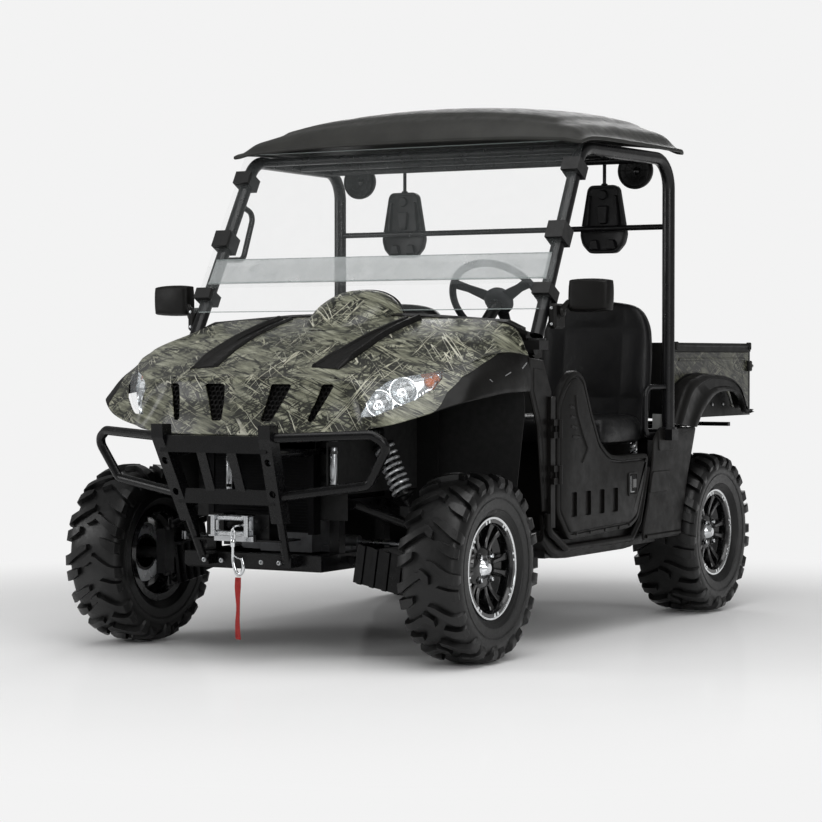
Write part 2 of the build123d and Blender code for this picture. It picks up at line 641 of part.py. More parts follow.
# black from a slanting line on, y and z of the line seen from the side
colour_line = [(-215, 838), (-70, 955), (170, 1035), (380, 1080)]
black_outline = colour_line + [(380, 700), (-215, 700)]
black_zone = plate_x(black_outline, 500, 800)
black_zone_grown = plate_x([(y - running_gap, z + running_gap) for y, z in colour_line] + [(381, 699), (-216, 699)],
                           500, 800)
save("hood_panel", hood - lamp_holes)
front_corner = corner - black_zone_grown
save("nose_panel", fuse([nose - under_hood - lamp_holes, front_corner, flip(front_corner)]))
fender_side = plate_x([(hood_rear - 2, 1018), (470, 1010), (door_hinge_y - 7, 900), (door_hinge_y - 7, 470),
                       (470, 480), (430, 778), (hood_rear - 2, 906)], 706, 712)
save("front_fenders", both((corner & black_zone) + fender_side))

# two raised strips of vents along the hood
vent_rows = [(-215.0, 190, 300), (-60.0, 212, 305), (130.0, 225, 300), (330.0, 232, 302)]
vent_height = 12.0
vent_sections = []
for y, x0, x1 in vent_rows:
    z0, z1 = hood_z(x0, y), hood_z(x1, y)
    vent_sections.append([(x0, y, z0 - 2), (x0 + 8, y, z0 + vent_height), (x1 - 8, y, z1 + vent_height),
                          (x1, y, z1 - 2)])
vents = both(skin(vent_sections) & hood_block)
vents = fuse([s for s in vents.solids() if s.volume > 2000])
save("hood_vents", vents)

# cowl trim and dashboard behind the hood
cowl_front = hood_stations[-1][0] + running_gap
cowl_rear = 398.0
cowl = skin([panel_section(cowl_front, mirrored([(0, 1172), (280, 1166), (620, 1142), (700, 1108)]), 14),
             panel_section(cowl_rear, mirrored([(0, cowl_peak_z), (280, 1174), (620, 1150), (704, 1112)]), 14)])
cowl = cowl - both(rod((pillar_a_foot[0], pillar_a_foot[1], 1000), (pillar_a_foot[0], pillar_a_foot[1], 1200),
                       cage_tube + 26))
save("cowl_trim", cowl)
dash_rear = 560.0
dash = skin([panel_section(434.0, mirrored([(0, 1168), (280, 1162), (560, 1140), (664, 1112)]), 66),
             panel_section(dash_rear - 40, mirrored([(0, 1172), (280, 1150), (560, 1128), (664, 1100)]), 90),
             panel_section(dash_rear, mirrored([(0, 1120), (280, 1110), (560, 1096), (664, 1080)]), 60)])
column_dir = Vector(0, -math.cos(math.radians(steer_tilt)), -math.sin(math.radians(steer_tilt)))
hub = Vector(*steer_hub)
column_tube = 44.0
dash_bracket = box(330, 360, dash_tube_y + upright_size / 2 + running_gap, 470, dash_tube_z - 12, 1112)
dash = dash + both(dash_bracket) - rod(tuple(hub), tuple(hub + column_dir * 400), column_tube + 8)
save("dashboard", dash)


# ---------------------------------------------------------------- cab
arch_rear = 400.0
floor_half = cab_half - 25.0
floor_outline = [(-arch_rear + 10, cab_front), (arch_rear - 10, cab_front), (floor_half, 560), (floor_half, 1250),
                 (-floor_half, 1250), (-floor_half, 560)]
floor_pan = plate_z(floor_outline, floor_z, floor_top)
firewall = plate_y([(-arch_rear + 12, floor_top - 1), (arch_rear - 12, floor_top - 1), (arch_rear - 12, 1040),
                    (-arch_rear + 12, 1040)], cab_front, cab_front + floor_thick)
floor_pan = floor_pan + firewall - both(box(rail_x - 21, rail_x + 21, 200, 500, 700, 780))
hoop_cut = upright_size / 2 + 1
floor_pan = floor_pan - both(box(rail_x - hoop_cut, rail_x + hoop_cut, dash_tube_y - hoop_cut,
                                 dash_tube_y + hoop_cut, 300, 400))
save("floor_pan", floor_pan)

seat_box_front = 1100.0
seat_box_top = 690.0
seat_box = box(-600, 600, seat_box_front, 1440, floor_top + running_gap, seat_box_top)
seat_box = seat_box - box(-570, 570, seat_box_front + 30, 1410, floor_top - 1, seat_box_top - 30)
save("seat_box", seat_box)

seat_x = 450.0
seat_half = 240.0
cushion_front = 1010.0
back_y = 1370.0
back_thick = 78.0
back_tilt = 7.0
back_low = seat_box_top + 9.0
cushion = box(seat_x - seat_half, seat_x + seat_half, cushion_front, back_y - 6, seat_box_top + seat_gap, 815)
cushion = fillet(cushion.edges().filter_by(Axis.Z), 40)
save("seat_cushions", both(cushion))
back_outline = [(seat_x - seat_half, back_low), (seat_x + seat_half, back_low), (seat_x + seat_half, 1190),
                (seat_x + seat_half - 55, 1243), (seat_x - seat_half + 55, 1243), (seat_x - seat_half, 1190)]
back = plate_y(back_outline, back_y, back_y + back_thick)
back = Pos(0, back_y, back_low) * Rot(-back_tilt, 0, 0) * Pos(0, -back_y, -back_low) * back
save("seat_backs", both(back))

stem = 14.0
headrest_y = head_bar_y + 40.0
headrest_outline = [(-62, 1690), (62, 1690), (96, 1494), (56, 1424), (-56, 1424), (-96, 1494)]
headrest_low = [(seat_x + x, z) for x, z in headrest_outline]
headrest_shell = plate_y(headrest_low, headrest_y - 16, headrest_y + 22)
headrest_bar_z = top_z
headrest_rod = rod((seat_x, headrest_y, 1689), (seat_x, headrest_y, headrest_bar_z), stem)
headrest_arm = box(seat_x - 14, seat_x + 14, cage_cross_y[2] + brace_tube / 2 + running_gap, headrest_y + 8,
                   headrest_bar_z - 8, headrest_bar_z + 8)
save("headrests", both(headrest_shell + headrest_rod + headrest_arm))

hip_x = 706.0
hip_front = 1346.0
hip_top_z = 905.0
hip_low_z = (outrigger_z[0] + outrigger_z[1]) / 2
hip_bar = tube([(pillar_b_x - 6, pillar_b_y - cage_tube / 2 - running_gap, hip_top_z),
                (hip_x, hip_front, hip_top_z), (hip_x, hip_front, hip_low_z),
                (hip_x - 1, pillar_b_y - 26, hip_low_z)], 22, 36)
hip_bar = hip_bar - box(post_x - 60, pillar_b_x + 60, pillar_b_y - 30 - running_gap, pillar_b_y + 60,
                        outrigger_z[0] - 40, outrigger_z[1] + 20)
save("hip_bars", both(hip_bar))

speaker_y = pillar_b_y - 28.0
speaker = rod((618, speaker_y - 30, 1736), (618, speaker_y + 18, 1736), 142)
speaker = speaker - rod((618, speaker_y - 31, 1736), (618, speaker_y - 22, 1736), 118)
speaker_plate = box(618, pillar_b_x - cage_tube / 2 - running_gap, speaker_y + 10, speaker_y + 18, 1700, 1760)
save("speakers", both(speaker + speaker_plate) - cage)

mirror_x = 879.0
mirror_y = 502.0
mirror_z = 1234.0
mirror_head = box(mirror_x - 82, mirror_x + 82, mirror_y - 32, mirror_y + 24, mirror_z - 60, mirror_z + 58)
mirror_head = fillet(mirror_head.edges().filter_by(Axis.Y), 16)
mirror_head = mirror_head + rod((mirror_x - 60, mirror_y + 4, mirror_z - 56),
                                (pillar_a_foot[0] + 44, mirror_y - 22, 1150), 20)
bracket = box(pillar_a_foot[0] + 26, pillar_a_foot[0] + 58, mirror_y - 62, mirror_y + 20, 1118, 1206)
save("mirrors", both(mirror_head + bracket))

# steering column, clamped to the dash hoop by two plates
hub_depth = 27.0
column_top = hub + column_dir * (hub_depth + running_gap)
column_end = hub + column_dir * 385
column = rod(tuple(column_top), tuple(column_end), column_tube)
# clamp from the column up to the dash tube
column_near = hub + column_dir * 360
clamp_dir = (Vector(0, dash_tube_y, dash_tube_z) - Vector(0, column_near.Y, column_near.Z)).normalized()
clamp_side = clamp_dir.cross(Vector(1, 0, 0))
clamp_start = Vector(0, column_near.Y, column_near.Z)
clamp_end = Vector(0, dash_tube_y, dash_tube_z)
clamp_corners = [clamp_start + clamp_side * 14, clamp_end + clamp_side * 14, clamp_end - clamp_side * 14,
                 clamp_start - clamp_side * 14]
column = column + plate_x([(c.Y, c.Z) for c in clamp_corners], steer_x - 20, steer_x + 20)
column = column - rod((steer_x - 60, dash_tube_y, dash_tube_z), (steer_x + 60, dash_tube_y, dash_tube_z),
                      upright_size + 2 * running_gap)
save("steering_column", column)


# ---------------------------------------------------------------- doors and side panels
door_outline = [(548, 470), (548, 862), (604, 930), (668, 970), (722, 972), (772, 946), (836, 820), (905, 712),
                (985, 664), (1060, 655), (1312, 657), (1326, 640), (1300, 538), (1234, 408), (1164, 380),
                (642, 368)]
# y of each slot's middle
slot_y = [676.0, 792.0, 906.0, 1022.0]
slot_half = 16.0
door = plate_x(door_outline, door_inner, door_outer)
door_rib = 8.0
inner_line = [(572, 486), (572, 846), (668, 934), (716, 936), (756, 920), (806, 806), (880, 694), (980, 636),
              (1062, 627), (1290, 629), (1268, 540), (1214, 430), (1150, 406), (656, 396)]
door = door + plate_x(inner_line, door_outer - 1, door_outer + door_rib)
for y in slot_y:
    door = door - box(door_outer - 6, door_outer + 20, y - slot_half, y + slot_half, 452, 536)
door = door - plate_x([(1128, 500), (1216, 500), (1216, 590), (1128, 590)], door_outer - 8, door_outer + 20)
handle = plate_x([(1146, 528), (1200, 528), (1200, 560), (1146, 560)], door_outer - 9, door_outer + 2)
door = door + handle
# z of the two hinges, with a knuckle on the door between two on the body
hinge_z = (606.0, 768.0)
hinge_height = 66.0
knuckle_radius = 9.0
body_hinges = []
for z in hinge_z:
    low, high = z - hinge_height / 2, z + hinge_height / 2
    third = hinge_height / 3
    knuckle_low, knuckle_high = low + third + seat_gap, high - third - seat_gap
    knuckle = rod((door_hinge_x, door_hinge_y, knuckle_low), (door_hinge_x, door_hinge_y, knuckle_high),
                  2 * knuckle_radius)
    leaf = box(door_outer, door_hinge_x + 4, door_hinge_y, door_hinge_y + 60, knuckle_low, knuckle_high)
    knuckle = (knuckle + leaf) - rod((door_hinge_x, door_hinge_y, low - 1), (door_hinge_x, door_hinge_y, high + 1),
                                     2 * hinge_pin + 0.1)
    door = door + knuckle
    pin = rod((door_hinge_x, door_hinge_y, low), (door_hinge_x, door_hinge_y, high), 2 * hinge_pin)
    for z0, z1 in ((low, low + third), (high - third, high)):
        pin = pin + rod((door_hinge_x, door_hinge_y, z0), (door_hinge_x, door_hinge_y, z1), 2 * knuckle_radius)
        pin = pin + box(door_outer - 2, door_hinge_x, door_hinge_y - 44, door_hinge_y - 2, z0, z1)
    body_hinges.append(pin)
save("left_door", door)
save("right_door", flip(door))

# the hinge post and the lip that frames the door opening
hinge_post = box(door_inner + 10, door_outer - 2, door_hinge_y - 42, door_hinge_y - 7, 420, 880)
door_lip = tube([(716, 505, 470), (716, 505, 410), (716, 640, 340), (716, 1190, 340), (716, 1262, 400),
                 (716, 1340, 600)], 26, 30)
save("door_frames", both(fuse([hinge_post, door_lip] + body_hinges)))

side_wall = 5.0
side_x = 728.0
side_panel = plate_x([(1356, 640), (1356, 700), (1420, 752), (1770, 745), (1690, 560), (1612, 326), (1268, 326),
                      (1268, 372), (1312, 470)], side_x, side_x + side_wall)
# y and z of each raised pad, from rear to front
pad_rows = [(1662, 690), (1628, 610), (1590, 520), (1556, 430)]
for y, z in pad_rows:
    side_panel = side_panel + box(side_x + 1, side_x + side_wall + 5, y - 150, y, z - 28, z + 28)
side_panel = side_panel - box(side_x - 20, pillar_b_x + 40, pillar_b_y - 36, pillar_b_y + 36,
                              outrigger_z[0] - 6, 800)
side_flange = box(rocker_x + rocker_size / 2 + running_gap, side_x + 1, 1400, 1440, rail_bottom + 20,
                  rail_bottom + 32)
save("side_panels", both(side_panel + side_flange))

# ---------------------------------------------------------------- bed
bed_outer = box(-bed_half, bed_half, bed_front, bed_rear - tailgate_thick - 5, deck_bottom, bed_rail_z)
bed_inner = box(-bed_half + bed_wall, bed_half - bed_wall, bed_front + bed_wall, bed_rear + 50, bed_floor_z,
                bed_rail_z + 10)
bed = bed_outer - bed_inner
corner = 40.0
bed = bed + both(box(bed_half - corner, bed_half, bed_rear - tailgate_thick - 6, bed_rear - 14, deck_bottom,
                     bed_rail_z))
bed = bed + both(box(bed_half - 2, bed_half + 10, bed_front - 4, bed_rear - tailgate_thick - 5, bed_rail_z - 34,
                     bed_rail_z))
for side in (-1, 1):
    lug_x = side * pivot_lug_x
    lug = box(lug_x - 4, lug_x + 4, bed_pivot_y - 20, bed_pivot_y + 20, bed_pivot_z, deck_bottom + 1)
    lug = lug + rod((lug_x - 4, bed_pivot_y, bed_pivot_z), (lug_x + 4, bed_pivot_y, bed_pivot_z), 40)
    lug = lug - rod((lug_x - 5, bed_pivot_y, bed_pivot_z), (lug_x + 5, bed_pivot_y, bed_pivot_z), pivot_pin + 0.1)
    bed = bed + lug
save("bed_tub", bed)

gate_hinge_y = bed_rear - 8.0
gate_hinge_z = deck_bottom + 4.0
gate_half = bed_half - corner - 5.0
gate = box(-gate_half, gate_half, bed_rear - tailgate_thick, bed_rear, deck_bottom + 18, bed_rail_z)
gate_hinge_x = 500.0
gate_pin = 8.0
for x in (-gate_hinge_x, gate_hinge_x):
    gate = gate + box(x - 14, x + 14, gate_hinge_y - 7, gate_hinge_y + 7, gate_hinge_z, deck_bottom + 19)
    gate = gate + rod((x - 14, gate_hinge_y, gate_hinge_z), (x + 14, gate_hinge_y, gate_hinge_z), 14)
    gate = gate - rod((x - 20, gate_hinge_y, gate_hinge_z), (x + 20, gate_hinge_y, gate_hinge_z), gate_pin + 0.1)
save("tailgate", gate)
gate_brackets = []
for x in (-gate_hinge_x, gate_hinge_x):
    pin = rod((x - 30, gate_hinge_y, gate_hinge_z), (x + 30, gate_hinge_y, gate_hinge_z), gate_pin)
    for plate_x0 in (x - 26, x + 18):
        pin = pin + box(plate_x0, plate_x0 + 8, bed_rear - tailgate_thick - 5, gate_hinge_y + 6, gate_hinge_z - 8,
                        gate_hinge_z + 8)
    gate_brackets.append(pin)
save("tailgate_hinges", fuse(gate_brackets))

# rear fenders: a flared arch outside the bed, on arms from the deck rails
# y and z of the arch's upper face, then its lower face
flare_outer = [(1524, 762), (1640, 905), (1760, 944), (1860, 952), (2050, 940), (2165, 900), (2236, 816),
               (2300, 806)]
flare_inner = [(2300, 792), (2222, 790), (2180, 846), (2110, 876), (2010, 882), (1900, 868), (1790, 810),
               (1718, 745)]
rear_fender = plate_x(flare_outer + flare_inner, bed_half + 12, 766)
rear_fender = rear_fender - plate_x([(1560, 770), (1665, 880), (1770, 922), (1860, 932), (2040, 922), (2140, 884),
                                     (2200, 812), (2180, 700), (1530, 600)], bed_half, 748)
for leg_y in fender_arm_y:
    rear_fender = rear_fender + box(fender_arm_x, fender_arm_x + 6, leg_y - 14, leg_y + 14, deck_rail_z[0], 890)
save("rear_fenders", both(rear_fender))
tail_lamp = box(bed_half - corner + 6, bed_half - 6, bed_rear - 14 + running_gap, bed_rear - 2, 890, 1000)
save("tail_lamps", both(tail_lamp))


# ---------------------------------------------------------------- bumper, winch, cooling
# middle of each post by height: z, x, y of the front face, depth
post_rows = [(320.0, 165.0, -352.0, 40.0), (470.0, 182.0, -418.0, 48.0), (752.0, 212.0, 3 - front_reach, 52.0),
             (798.0, 212.0, -front_reach, 52.0)]
post_half = 23.0
post_tube = 30.0


def post_face(z):
    """Middle x and front y of a bumper post at a height."""
    for low, high in zip(post_rows, post_rows[1:]):
        if z <= high[0]:
            share = (z - low[0]) / (high[0] - low[0])
            return low[1] + (high[1] - low[1]) * share, low[2] + (high[2] - low[2]) * share
    return post_rows[-1][1], post_rows[-1][2]


bumper = skin([[(x - post_half, y, z), (x + post_half, y, z), (x + post_half, y + depth, z),
                (x - post_half, y + depth, z)] for z, x, y, depth in post_rows[1:]])
for hole_z in (570.0, 675.0):
    x, y = post_face(hole_z)
    bumper = bumper - rod((x, y - 20, hole_z), (x, y + 90, hole_z), 24)
tube_low, tube_high = post_face(338.0), post_face(484.0)
bumper = both(bumper + rod((tube_low[0], tube_low[1] + 24, 338), (tube_high[0], tube_high[1] + 24, 484), post_tube))
for bar_z, bar_height in ((733.0, 56.0), (557.0, 50.0)):
    x, y = post_face(bar_z)
    bumper = bumper + box(-x, x, y + 6, y + 36, bar_z - bar_height / 2, bar_z + bar_height / 2)
slat_half = 18.0
low_y = post_face(560.0)[1]
high_y = post_face(735.0)[1]
for x in (-60.0, 60.0):
    bumper = bumper + skin([[(x - slat_half, y + 14, z), (x + slat_half, y + 14, z), (x + slat_half, y + 24, z),
                             (x - slat_half, y + 24, z)] for y, z in ((low_y, 560), (high_y, 735))])
hoop = tube([(214, high_y + 26, 755), (530, -397, 768), (580, -374, 735), (500, -362, 604),
             (192, low_y + 26, 560)], 32, 34)
bumper = bumper + both(hoop)
winch_shelf_z = 412.0
shelf_x, shelf_y = post_face(winch_shelf_z)
bumper = bumper + box(-shelf_x, shelf_x, shelf_y + 6, -262, winch_shelf_z - 6, winch_shelf_z)
bumper = bumper + box(-rail_x - 25, rail_x + 25, rail_front - running_gap - 8, rail_front - running_gap,
                      rail_bottom + 2, rail_top)
bumper = bumper + both(box(165 - post_half, 165 + post_half, -344, rail_front - running_gap - 4, 320, 352))
bumper = bumper + both(rod((214, high_y + 30, 700), (rail_x, tower_y[0] - 26, 706), 24))
bumper = bumper + both(box(rail_x - 19, rail_x + 19, tower_y[0] - upright_size / 2 - running_gap - 8,
                           tower_y[0] - upright_size / 2 - running_gap, 684, 728))
save("front_bumper", bumper)

winch_y = -330.0
winch_z = winch_shelf_z + running_gap + 44.0
fairlead_y = shelf_y - 6.0
winch = box(-120, -62, winch_y - 40, winch_y + 40, winch_z - 44, winch_z + 40)
winch = winch + box(62, 120, winch_y - 40, winch_y + 40, winch_z - 44, winch_z + 40)
winch = winch + rod((-63, winch_y, winch_z), (63, winch_y, winch_z), 62)
for z in (winch_z - 34, winch_z + 34):
    winch = winch + rod((-63, winch_y + 30, z), (63, winch_y + 30, z), 12)
save("winch", winch)
fairlead_z = 459.0
fairlead = box(-78, 78, fairlead_y - 5, fairlead_y, fairlead_z - 34, fairlead_z + 34)
fairlead = fairlead - box(-58, 58, fairlead_y - 10, fairlead_y + 10, fairlead_z - 18, fairlead_z + 18)
fairlead = fairlead + box(-78, 78, fairlead_y - 5, shelf_y + 5.7, winch_shelf_z - 6, fairlead_z - 30)
for z in (fairlead_z - 26, fairlead_z + 26):
    fairlead = fairlead + rod((-70, fairlead_y - 14, z), (70, fairlead_y - 14, z), 20)
for x in (-66, 66):
    fairlead = fairlead + rod((x, fairlead_y - 28, fairlead_z - 32), (x, fairlead_y - 28, fairlead_z + 32), 18)
    fairlead = fairlead + box(x - 12, x + 12, fairlead_y - 38, fairlead_y - 4, fairlead_z - 35, fairlead_z - 31)
    fairlead = fairlead + box(x - 12, x + 12, fairlead_y - 38, fairlead_y - 4, fairlead_z + 31, fairlead_z + 35)
save("roller_fairlead", fairlead)

hook_x = 28.0
hook_y = fairlead_y - 50.0
hook_low_z = fairlead_z - 168.0
rope = 7.0
hook = rod((hook_x, winch_y - 32, fairlead_z), (hook_x, hook_y, fairlead_z - 6), rope)
hook = hook + rod((hook_x, hook_y, fairlead_z - 2), (hook_x, hook_y, fairlead_z - 60), 14)
hook_bend = tube([(hook_x, hook_y, fairlead_z - 58), (hook_x, hook_y, fairlead_z - 108),
                  (hook_x + 12, hook_y, hook_low_z + 6), (hook_x + 28, hook_y, hook_low_z + 6),
                  (hook_x + 42, hook_y, fairlead_z - 126), (hook_x + 32, hook_y, fairlead_z - 96)], 12, 9)
save("winch_hook", hook + hook_bend)

# webbing pull strap that hangs free from the hook
strap_width = 22.0
strap_thick = 3.0
strap_x = hook_x + 20.0
strap_route = [(strap_x, hook_y, hook_low_z - running_gap), (strap_x - 2, hook_y - 1, 242),
               (strap_x + 2, hook_y - 2, 190), (strap_x - 2, hook_y - 3, 137), (strap_x + 1, hook_y - 2, 86)]
strap_radii = []
for a, b, c in zip(strap_route, strap_route[1:], strap_route[2:]):
    run_in, run_out = Vector(*b) - Vector(*a), Vector(*c) - Vector(*b)
    shorter = min(run_in.length, run_out.length)
    strap_radii.append(0.45 * shorter / math.tan(math.radians(run_in.get_angle(run_out) / 2)))
print("strap radii", [round(r) for r in strap_radii])
strap_path = FilletPolyline(*[Vector(*p) for p in strap_route], radius=strap_radii)
strap_start = Plane(origin=strap_path @ 0, x_dir=(1, 0, 0), z_dir=strap_path % 0)
save("hook_strap", sweep(strap_start * Rectangle(strap_width, strap_thick), path=strap_path))

radiator = box(-190, 190, -236, -200, 430, 742)
radiator = radiator + both(box(190, 212, -240, -196, 424, 748)) + rod((0, -201, 586), (0, -184, 586), 250)
radiator = radiator + both(box(186, 204, -198, tower_y[0] - upright_size / 2 - running_gap, 600, 620))
radiator = radiator + both(box(186, 258, -176, tower_y[0] - upright_size / 2 - running_gap, 600, 620))
save("radiator", radiator)


# ---------------------------------------------------------------- drive and suspension
engine = box(-170, 170, 1462, 1800, rail_top + 14, 690)
engine = engine + both(box(110, 150, pillar_b_y - 16, pillar_b_y + 16, rail_top + running_gap, rail_top + 15))
save("engine_block", engine)


def drive_housing(y, half_width):
    block = box(-half_width, half_width, y - 80, y + 80, rail_top - 8, 456)
    arms = both(box(half_width - 1, rail_x - rail_size / 2 - running_gap, y - 18, y + 18, rail_top - 8,
                    rail_top + 14))
    return block + arms


save("drive_housings", fuse([drive_housing(0.0, 105), drive_housing(rear_axle, 120)]))

kingpin_x = front_wheel_x - knuckle_offset
carrier_x = rear_wheel_x - knuckle_offset + 12.0
arm_tube = 28.0
low_joint_z = 222.0
high_joint_z = 426.0
arm_spread = 105.0


def arm(y, outer_x, inner_z, outer_z):
    """Triangular arm: two legs from bushes on the frame to one ball joint, left side."""
    inner_x = rail_x + rail_size / 2 + 14
    legs = []
    for side in (-1, 1):
        bush_y = y + side * arm_spread
        legs.append(rod((inner_x, bush_y, inner_z), (outer_x, y, outer_z), arm_tube))
        legs.append(rod((inner_x, bush_y - 20, inner_z), (inner_x, bush_y + 20, inner_z), 27))
    legs.append(rod((outer_x, y, outer_z - 15), (outer_x, y, outer_z + 15), 36))
    cross_share = 0.55
    cross_x = inner_x + (outer_x - inner_x) * cross_share
    half = arm_spread * (1 - cross_share)
    cross_z = inner_z + (outer_z - inner_z) * cross_share
    legs.append(rod((cross_x, y - half, cross_z), (cross_x, y + half, cross_z), 20))
    return fuse(legs)


low_pivot_z = rail_bottom + rail_size / 2


def suspension(y, ball_x):
    """Both arms of the left side and the bracket that carries the foot of the shock absorber."""
    low = arm(y, ball_x, low_pivot_z, low_joint_z)
    high = arm(y, ball_x, arm_rail_z, high_joint_z)
    foot_x, foot_z = shock_foot
    near = box(foot_x - 20, foot_x + 20, y - 34, y - 22, foot_z - 40, foot_z + 16)
    far = box(foot_x - 20, foot_x + 20, y + 22, y + 34, foot_z - 40, foot_z + 16)
    return low, high + near + far


shock_foot = (446.0, 500.0)
shock_head = (322.0, 764.0)
front_low, front_high = suspension(0.0, kingpin_x - 24)
rear_low, rear_high = suspension(rear_axle, carrier_x - 24)
# ribbed guard in front of the lower arm: y, then x and z of its lower and upper corner
guard_edges = [(-132.0, (300, 262), (320, 392)), (-66.0, (464, 216), (480, 346))]


def guard_bar(share, half, front, thick):
    """Upright strip of the guard at a share of its length."""
    (y0, low0, high0), (y1, low1, high1) = guard_edges
    rows = []
    for side in (share - half, share + half):
        y = y0 + (y1 - y0) * side
        ends = [(a[0] + (b[0] - a[0]) * side, a[1] + (b[1] - a[1]) * side) for a, b in ((low0, low1), (high0, high1))]
        rows.append([(ends[0][0], y - front, ends[0][1]), (ends[1][0], y - front, ends[1][1]),
                     (ends[1][0], y - front + thick, ends[1][1]), (ends[0][0], y - front + thick, ends[0][1])])
    return skin(rows)


guard = guard_bar(0.5, 0.5, 0.0, 4.0)
for rib in range(4):
    guard = guard + guard_bar(0.14 + rib * 0.24, 0.04, 12.0, 13.0)
guard = guard + skin([[(340, -117, 306), (340, -117, 320), (340, -84, 320), (340, -84, 306)],
                      [(352, -112, 306), (352, -112, 320), (352, -78, 320), (352, -78, 306)]])
save("front_arms", both(front_low + guard) + both(front_high))
save("rear_arms", both(rear_low) + both(rear_high))


def shock(y, head_x, head_z):
    """Shock absorber: damper body, two spring seats and a coil with flat-ground ends, eyes at both ends."""
    foot = Vector(shock_foot[0], y, shock_foot[1])
    head = Vector(head_x, y, head_z)
    length = (head - foot).length
    turns = 7
    low, high = length * 0.20, length * 0.82
    # radius, distance from the foot
    profile = [(0, 14), (9, 14), (9, low - 26), (17, low - 20), (17, low - 6), (36, low - 6), (36, low)]
    for n in range(turns):
        start = low + (high - low) * n / turns
        pitch = (high - low) / turns
        profile += [(22, start + pitch * 0.15), (35, start + pitch * 0.35), (35, start + pitch * 0.65),
                    (22, start + pitch * 0.85)]
    profile += [(36, high), (36, high + 6), (15, high + 8), (15, length - 12), (0, length - 12)]
    plane = Plane(origin=foot, x_dir=(0, 1, 0), z_dir=Vector(0, 1, 0).cross(head - foot))
    solid = revolve(plane * make_face(Polyline(*[(r, h) for r, h in profile], close=True)),
                    axis=Axis(tuple(foot), tuple(head - foot)))
    eye_foot = rod((foot.X, y - 21.7, foot.Z), (foot.X, y + 21.7, foot.Z), 30)
    eye_head = rod((head.X, y - 16, head.Z), (head.X, y + 16, head.Z), 30)
    return solid + eye_foot + eye_head


front_shock = shock(0.0, shock_head[0], shock_head[1])
rear_shock = shock(rear_axle, shock_head[0] - 12, deck_rail_z[0] - 30)
save("front_shocks", both(front_shock))
save("rear_shocks", both(rear_shock))


def carrier(pin_x, wheel_x, rim_width, steered):
    """Upright that carries the wheel on a spindle, with the brake caliper; drawn with the axle at y = 0."""
    hub_back = wheel_x + rim_width / 2 - 34 - 30
    block = box(pin_x - 8, pin_x + 30, -28, 28, 246, 404)
    block = block + rod((pin_x + 28, 0, axle_z), (hub_back - running_gap, 0, axle_z), 40)
    block = block + rod((pin_x, 0, low_joint_z + 15 + running_gap), (pin_x, 0, 250), 30)
    block = block + rod((pin_x, 0, 400), (pin_x, 0, high_joint_z - 15 - running_gap), 30)
    disc_x = wheel_x - 50.0
    caliper = box(disc_x - 22, disc_x + 26, 66, 100, axle_z - 34, axle_z + 34)
    caliper = caliper - box(disc_x - 6, disc_x + 12, 60, 88, axle_z - 80, axle_z + 80)
    block = block + caliper + box(pin_x + 20, disc_x - 8, 20, 90, axle_z - 20, axle_z + 20)
    if steered:
        block = block + plate_z([(pin_x - 6, 0), (pin_x + 22, 0), (pin_x + 8, rack_y + 14), (pin_x - 12, rack_y + 14)],
                                rack_z - 34, rack_z - 24)
    return block


left_knuckle = carrier(kingpin_x, front_wheel_x, front_rim_width, True)
save("left_knuckle", left_knuckle)
save("right_knuckle", flip(left_knuckle))
rear_carrier = Pos(0, rear_axle, 0) * carrier(carrier_x, rear_wheel_x, rear_rim_width, False)
save("rear_carriers", both(rear_carrier))

# steering rack, tie rods and wheel
rack_tube = 46.0
rack_bar = 18.0
rack_housing = rod((-180, rack_y, rack_z), (180, rack_y, rack_z), rack_tube)
rack_housing = rack_housing + both(box(120, 160, rack_y - 18, rack_y + 18, rack_bed_z + running_gap, rack_z))
rack_housing = rack_housing - rod((-181, rack_y, rack_z), (181, rack_y, rack_z), rack_bar + 1.0)
save("rack_housing", rack_housing)
tie_rods = rod((-kingpin_x, rack_y, rack_z), (kingpin_x, rack_y, rack_z), rack_bar)
tie_rods = tie_rods + both(rod((kingpin_x, rack_y, rack_z - 17), (kingpin_x, rack_y, rack_z + 12), 26))
save("tie_rods", tie_rods)

wheel_plane = Plane(origin=tuple(hub), x_dir=(1, 0, 0), z_dir=tuple(column_dir * -1))
steering_wheel = wheel_plane * Torus(steer_radius, 14)
steering_wheel = steering_wheel + wheel_plane * (Pos(0, 0, 15 - hub_depth) * Cylinder(56, 30))
for angle in (90, 210, 330):
    spoke = wheel_plane * (Rot(0, 0, angle) * Pos(steer_radius / 2 + 12, 0, -6) * Box(steer_radius - 30, 44, 9))
    steering_wheel = steering_wheel + spoke
save("steering_wheel", steering_wheel)
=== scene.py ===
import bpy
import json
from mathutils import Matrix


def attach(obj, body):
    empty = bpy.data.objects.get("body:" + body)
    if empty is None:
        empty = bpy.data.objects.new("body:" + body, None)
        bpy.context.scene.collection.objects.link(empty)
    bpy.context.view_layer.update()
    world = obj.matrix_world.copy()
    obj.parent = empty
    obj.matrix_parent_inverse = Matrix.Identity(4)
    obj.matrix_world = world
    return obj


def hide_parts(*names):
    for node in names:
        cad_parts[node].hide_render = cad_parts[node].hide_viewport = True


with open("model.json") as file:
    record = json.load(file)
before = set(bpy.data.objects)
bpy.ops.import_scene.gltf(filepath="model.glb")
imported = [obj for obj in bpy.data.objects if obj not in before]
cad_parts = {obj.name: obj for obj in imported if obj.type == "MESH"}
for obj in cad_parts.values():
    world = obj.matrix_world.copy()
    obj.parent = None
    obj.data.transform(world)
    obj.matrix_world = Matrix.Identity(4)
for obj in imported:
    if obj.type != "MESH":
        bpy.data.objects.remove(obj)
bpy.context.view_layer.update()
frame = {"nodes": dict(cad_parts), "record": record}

import json
import math
from itertools import product

import bpy
from mathutils import Matrix, Vector

